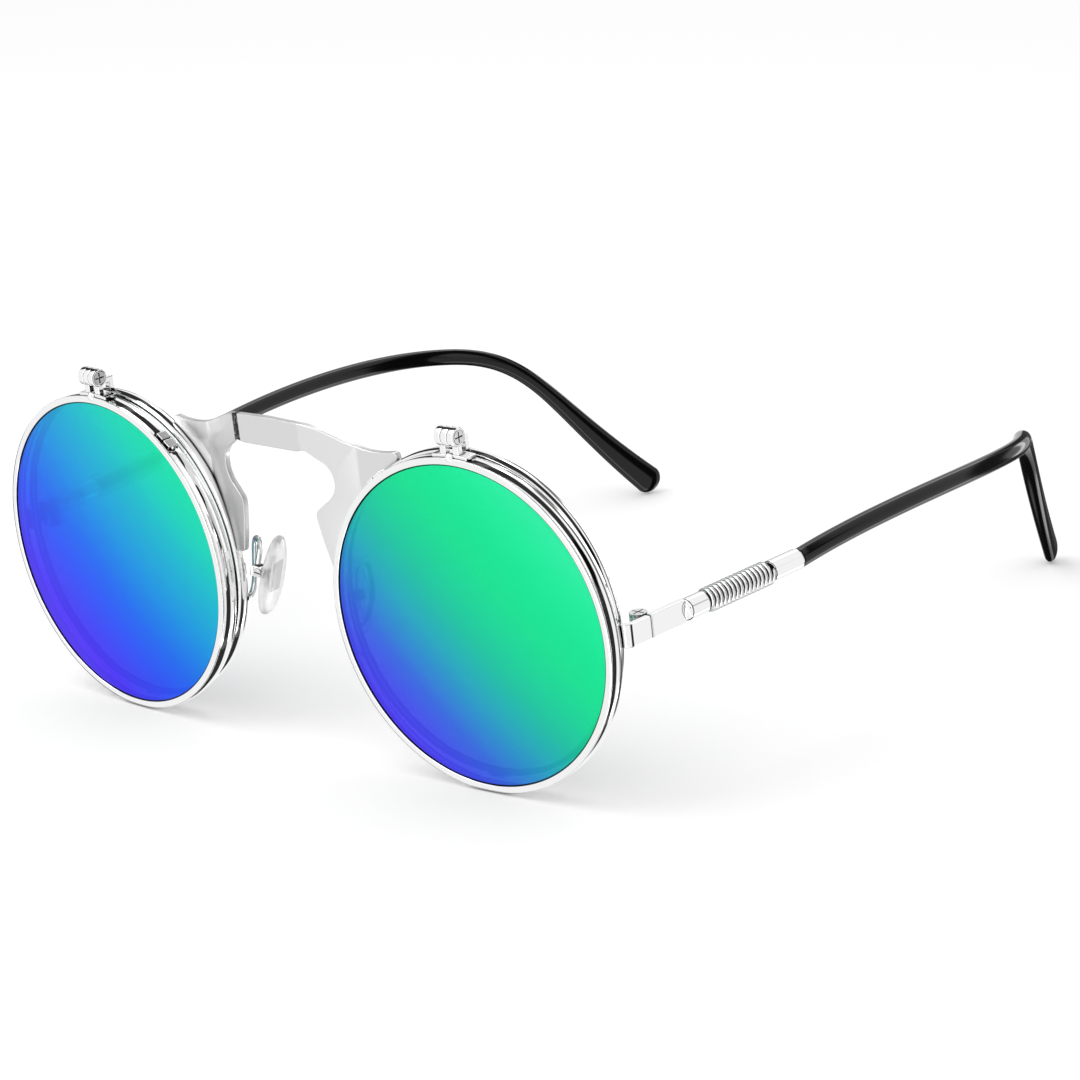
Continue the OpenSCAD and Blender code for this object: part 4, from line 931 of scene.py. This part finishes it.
# The studio in metres and watts, and what the metal mirrors: dark discs as (direction, angle of
# the full part, angle where it has faded, level), and bands as (direction across, middle, half
# width, fade, level), two dark hoops round the front to back line and a bright strip overhead
studio = {"floorHalf": 4.0, "floorDrop": 0.0002, "floorColour": "#F4F4F4", "floorGlow": 0.1,
          "ambient": 0.9,
          "lamps": (("keyLight", 1.5, (-0.25, -0.35, 0.7), 0.6),
                    ("fillLight", 0.4, (0.6, -0.3, 0.5), 0.8)),
          "discs": (((0.654, -0.683, 0.325), 7, 11, 0.1), ((0.80, 0.35, 0.48), 13, 17, 0.04),
                    ((-0.71, 0.68, 0.14), 4, 7, 0.1), ((0.95, -0.1, 0.3), 5, 8, 0.2)),
          "bands": (((0, 1, 0), 0.28, 0.23, 0.03, 0.03), ((0, 1, 0), 0.88, 0.05, 0.02, 0.1),
                    ((0.91, 0, 0.41), 0, 0.05, 0.03, 4.0))}


def straightRays(tree):
    # the light path, and 1 for rays that see the room itself
    rays = addNode(tree, "ShaderNodeLightPath")
    seen = addNode(tree, "ShaderNodeMath", [(rays.outputs["Is Camera Ray"], 0),
                                            (rays.outputs["Is Transmission Ray"], 1)],
                   operation="MAXIMUM")
    return rays, seen


mesh = bpy.data.meshes.new("studioFloor")
h = studio["floorHalf"]
mesh.from_pydata([(-h, -h, 0), (h, -h, 0), (h, h, 0), (-h, h, 0)], [], [(0, 1, 2, 3)])
floor = addObject("studioFloor", mesh)
floor.location.z = -studio["floorDrop"]
floor.visible_glossy = False  # the plate mirrors the studio all round, with its dark flags
floorPaper, tree, shader = newMaterial("studioPaper", Roughness=0.9, **{
    "Base Color": hexColour(studio["floorColour"]), "Specular IOR Level": 0.0,
    "Emission Color": (1, 1, 1, 1)})
seen = straightRays(tree)[1]
glow = addNode(tree, "ShaderNodeMath", [(seen.outputs[0], 0)], operation="MULTIPLY")
glow.inputs[1].default_value = studio["floorGlow"]
tree.links.new(glow.outputs[0], shader.inputs["Emission Strength"])
floor.data.materials.append(floorPaper)

world = bpy.data.worlds.new("studio")
bpy.context.scene.world = world
world.use_nodes = True
tree = world.node_tree
tree.nodes.clear()
out = addNode(tree, "ShaderNodeOutputWorld")
place = addNode(tree, "ShaderNodeTexCoord")


def addCard(level, towards, middle, inner, outer, seen):
    # where a ray's part along a direction is within inner of the middle, the level turns to seen,
    # and it fades out to outer
    dot = addNode(tree, "ShaderNodeVectorMath", [(place.outputs["Generated"], 0)],
                  operation="DOT_PRODUCT")
    dot.inputs[1].default_value = towards
    off = addNode(tree, "ShaderNodeMath", [(dot.outputs["Value"], 0)], operation="SUBTRACT")
    off.inputs[1].default_value = middle
    off = addNode(tree, "ShaderNodeMath", [(off.outputs[0], 0)], operation="ABSOLUTE")
    card = addNode(tree, "ShaderNodeMapRange", [(off.outputs[0], "Value")],
                   interpolation_type="SMOOTHSTEP",
                   **{"From Min": outer, "From Max": inner, "To Min": 1.0, "To Max": seen})
    return card if level is None else addNode(
        tree, "ShaderNodeMath", [(level.outputs[0], 0), (card.outputs[0], 1)], operation="MULTIPLY")


level = None
for towards, inner, outer, seen in studio["discs"]:
    inner, outer = (1 - math.cos(math.radians(angle)) for angle in (inner, outer))
    level = addCard(level, Vector(towards).normalized(), 1, inner, outer, seen)
for towards, middle, half, fade, seen in studio["bands"]:
    level = addCard(level, towards, middle, half, half + fade, seen)
rays, through = straightRays(tree)
room = addNode(tree, "ShaderNodeBackground", Color=(1, 1, 1, 1), Strength=studio["ambient"])
mirrored = addNode(tree, "ShaderNodeBackground", [(level.outputs[0], "Color")], Strength=1.0)
white = addNode(tree, "ShaderNodeBackground", Color=(1, 1, 1, 1), Strength=1.0)
glossy = addNode(tree, "ShaderNodeMixShader", [(rays.outputs["Is Glossy Ray"], 0),
                                               (room.outputs[0], 1), (mirrored.outputs[0], 2)])
mix = addNode(tree, "ShaderNodeMixShader", [(through.outputs[0], 0), (glossy.outputs[0], 1),
                                            (white.outputs[0], 2)])
tree.links.new(mix.outputs[0], out.inputs["Surface"])

for name, power, spot, size in studio["lamps"]:
    lamp = bpy.data.lights.new(name, "AREA")
    lamp.energy = power
    lamp.shape = "DISK"
    lamp.size = size
    lampObject = addObject(name, lamp)
    lampObject.location = spot
    aim = Vector((0, 0, 0.02)) - Vector(spot)
    lampObject.rotation_euler = aim.to_track_quat("-Z", "Y").to_euler()

# The camera was found in the face frame, so it is tipped with it; 3909 is its focal length in
# pixels of a frame 1080 wide
view = {"azimuth": 43.756, "elevation": 18.938, "roll": -6.695, "distance": 532.661,
        "targetX": 52.708, "targetZ": 15.398, "lens": 3909.292 * 36 / 1080}
az, el, roll = (math.radians(view[k]) for k in ("azimuth", "elevation", "roll"))
back = np.array([math.sin(az) * math.cos(el), -math.cos(az) * math.cos(el), math.sin(el)])
right = np.array([math.cos(az), math.sin(az), 0])
up = np.cross(back, right)
right, up = (math.cos(roll) * right + math.sin(roll) * up,
             math.cos(roll) * up - math.sin(roll) * right)
spot = np.array([view["targetX"], 0, view["targetZ"]]) + back * view["distance"]
axes = np.column_stack([turn(v, standing["tilt"], "x") for v in (right, up, back)])
camera = bpy.data.cameras.new("camera")
camera.lens = view["lens"]
camera.sensor_width = 36
camera.clip_start = 0.01
cameraObject = addObject("camera", camera)
cameraObject.matrix_world = Matrix.Translation(toWorld(spot)) @ Matrix(axes.tolist()).to_4x4()
bpy.context.scene.camera = cameraObject
bpy.context.scene.view_settings.view_transform = "Standard"
print("studio made")
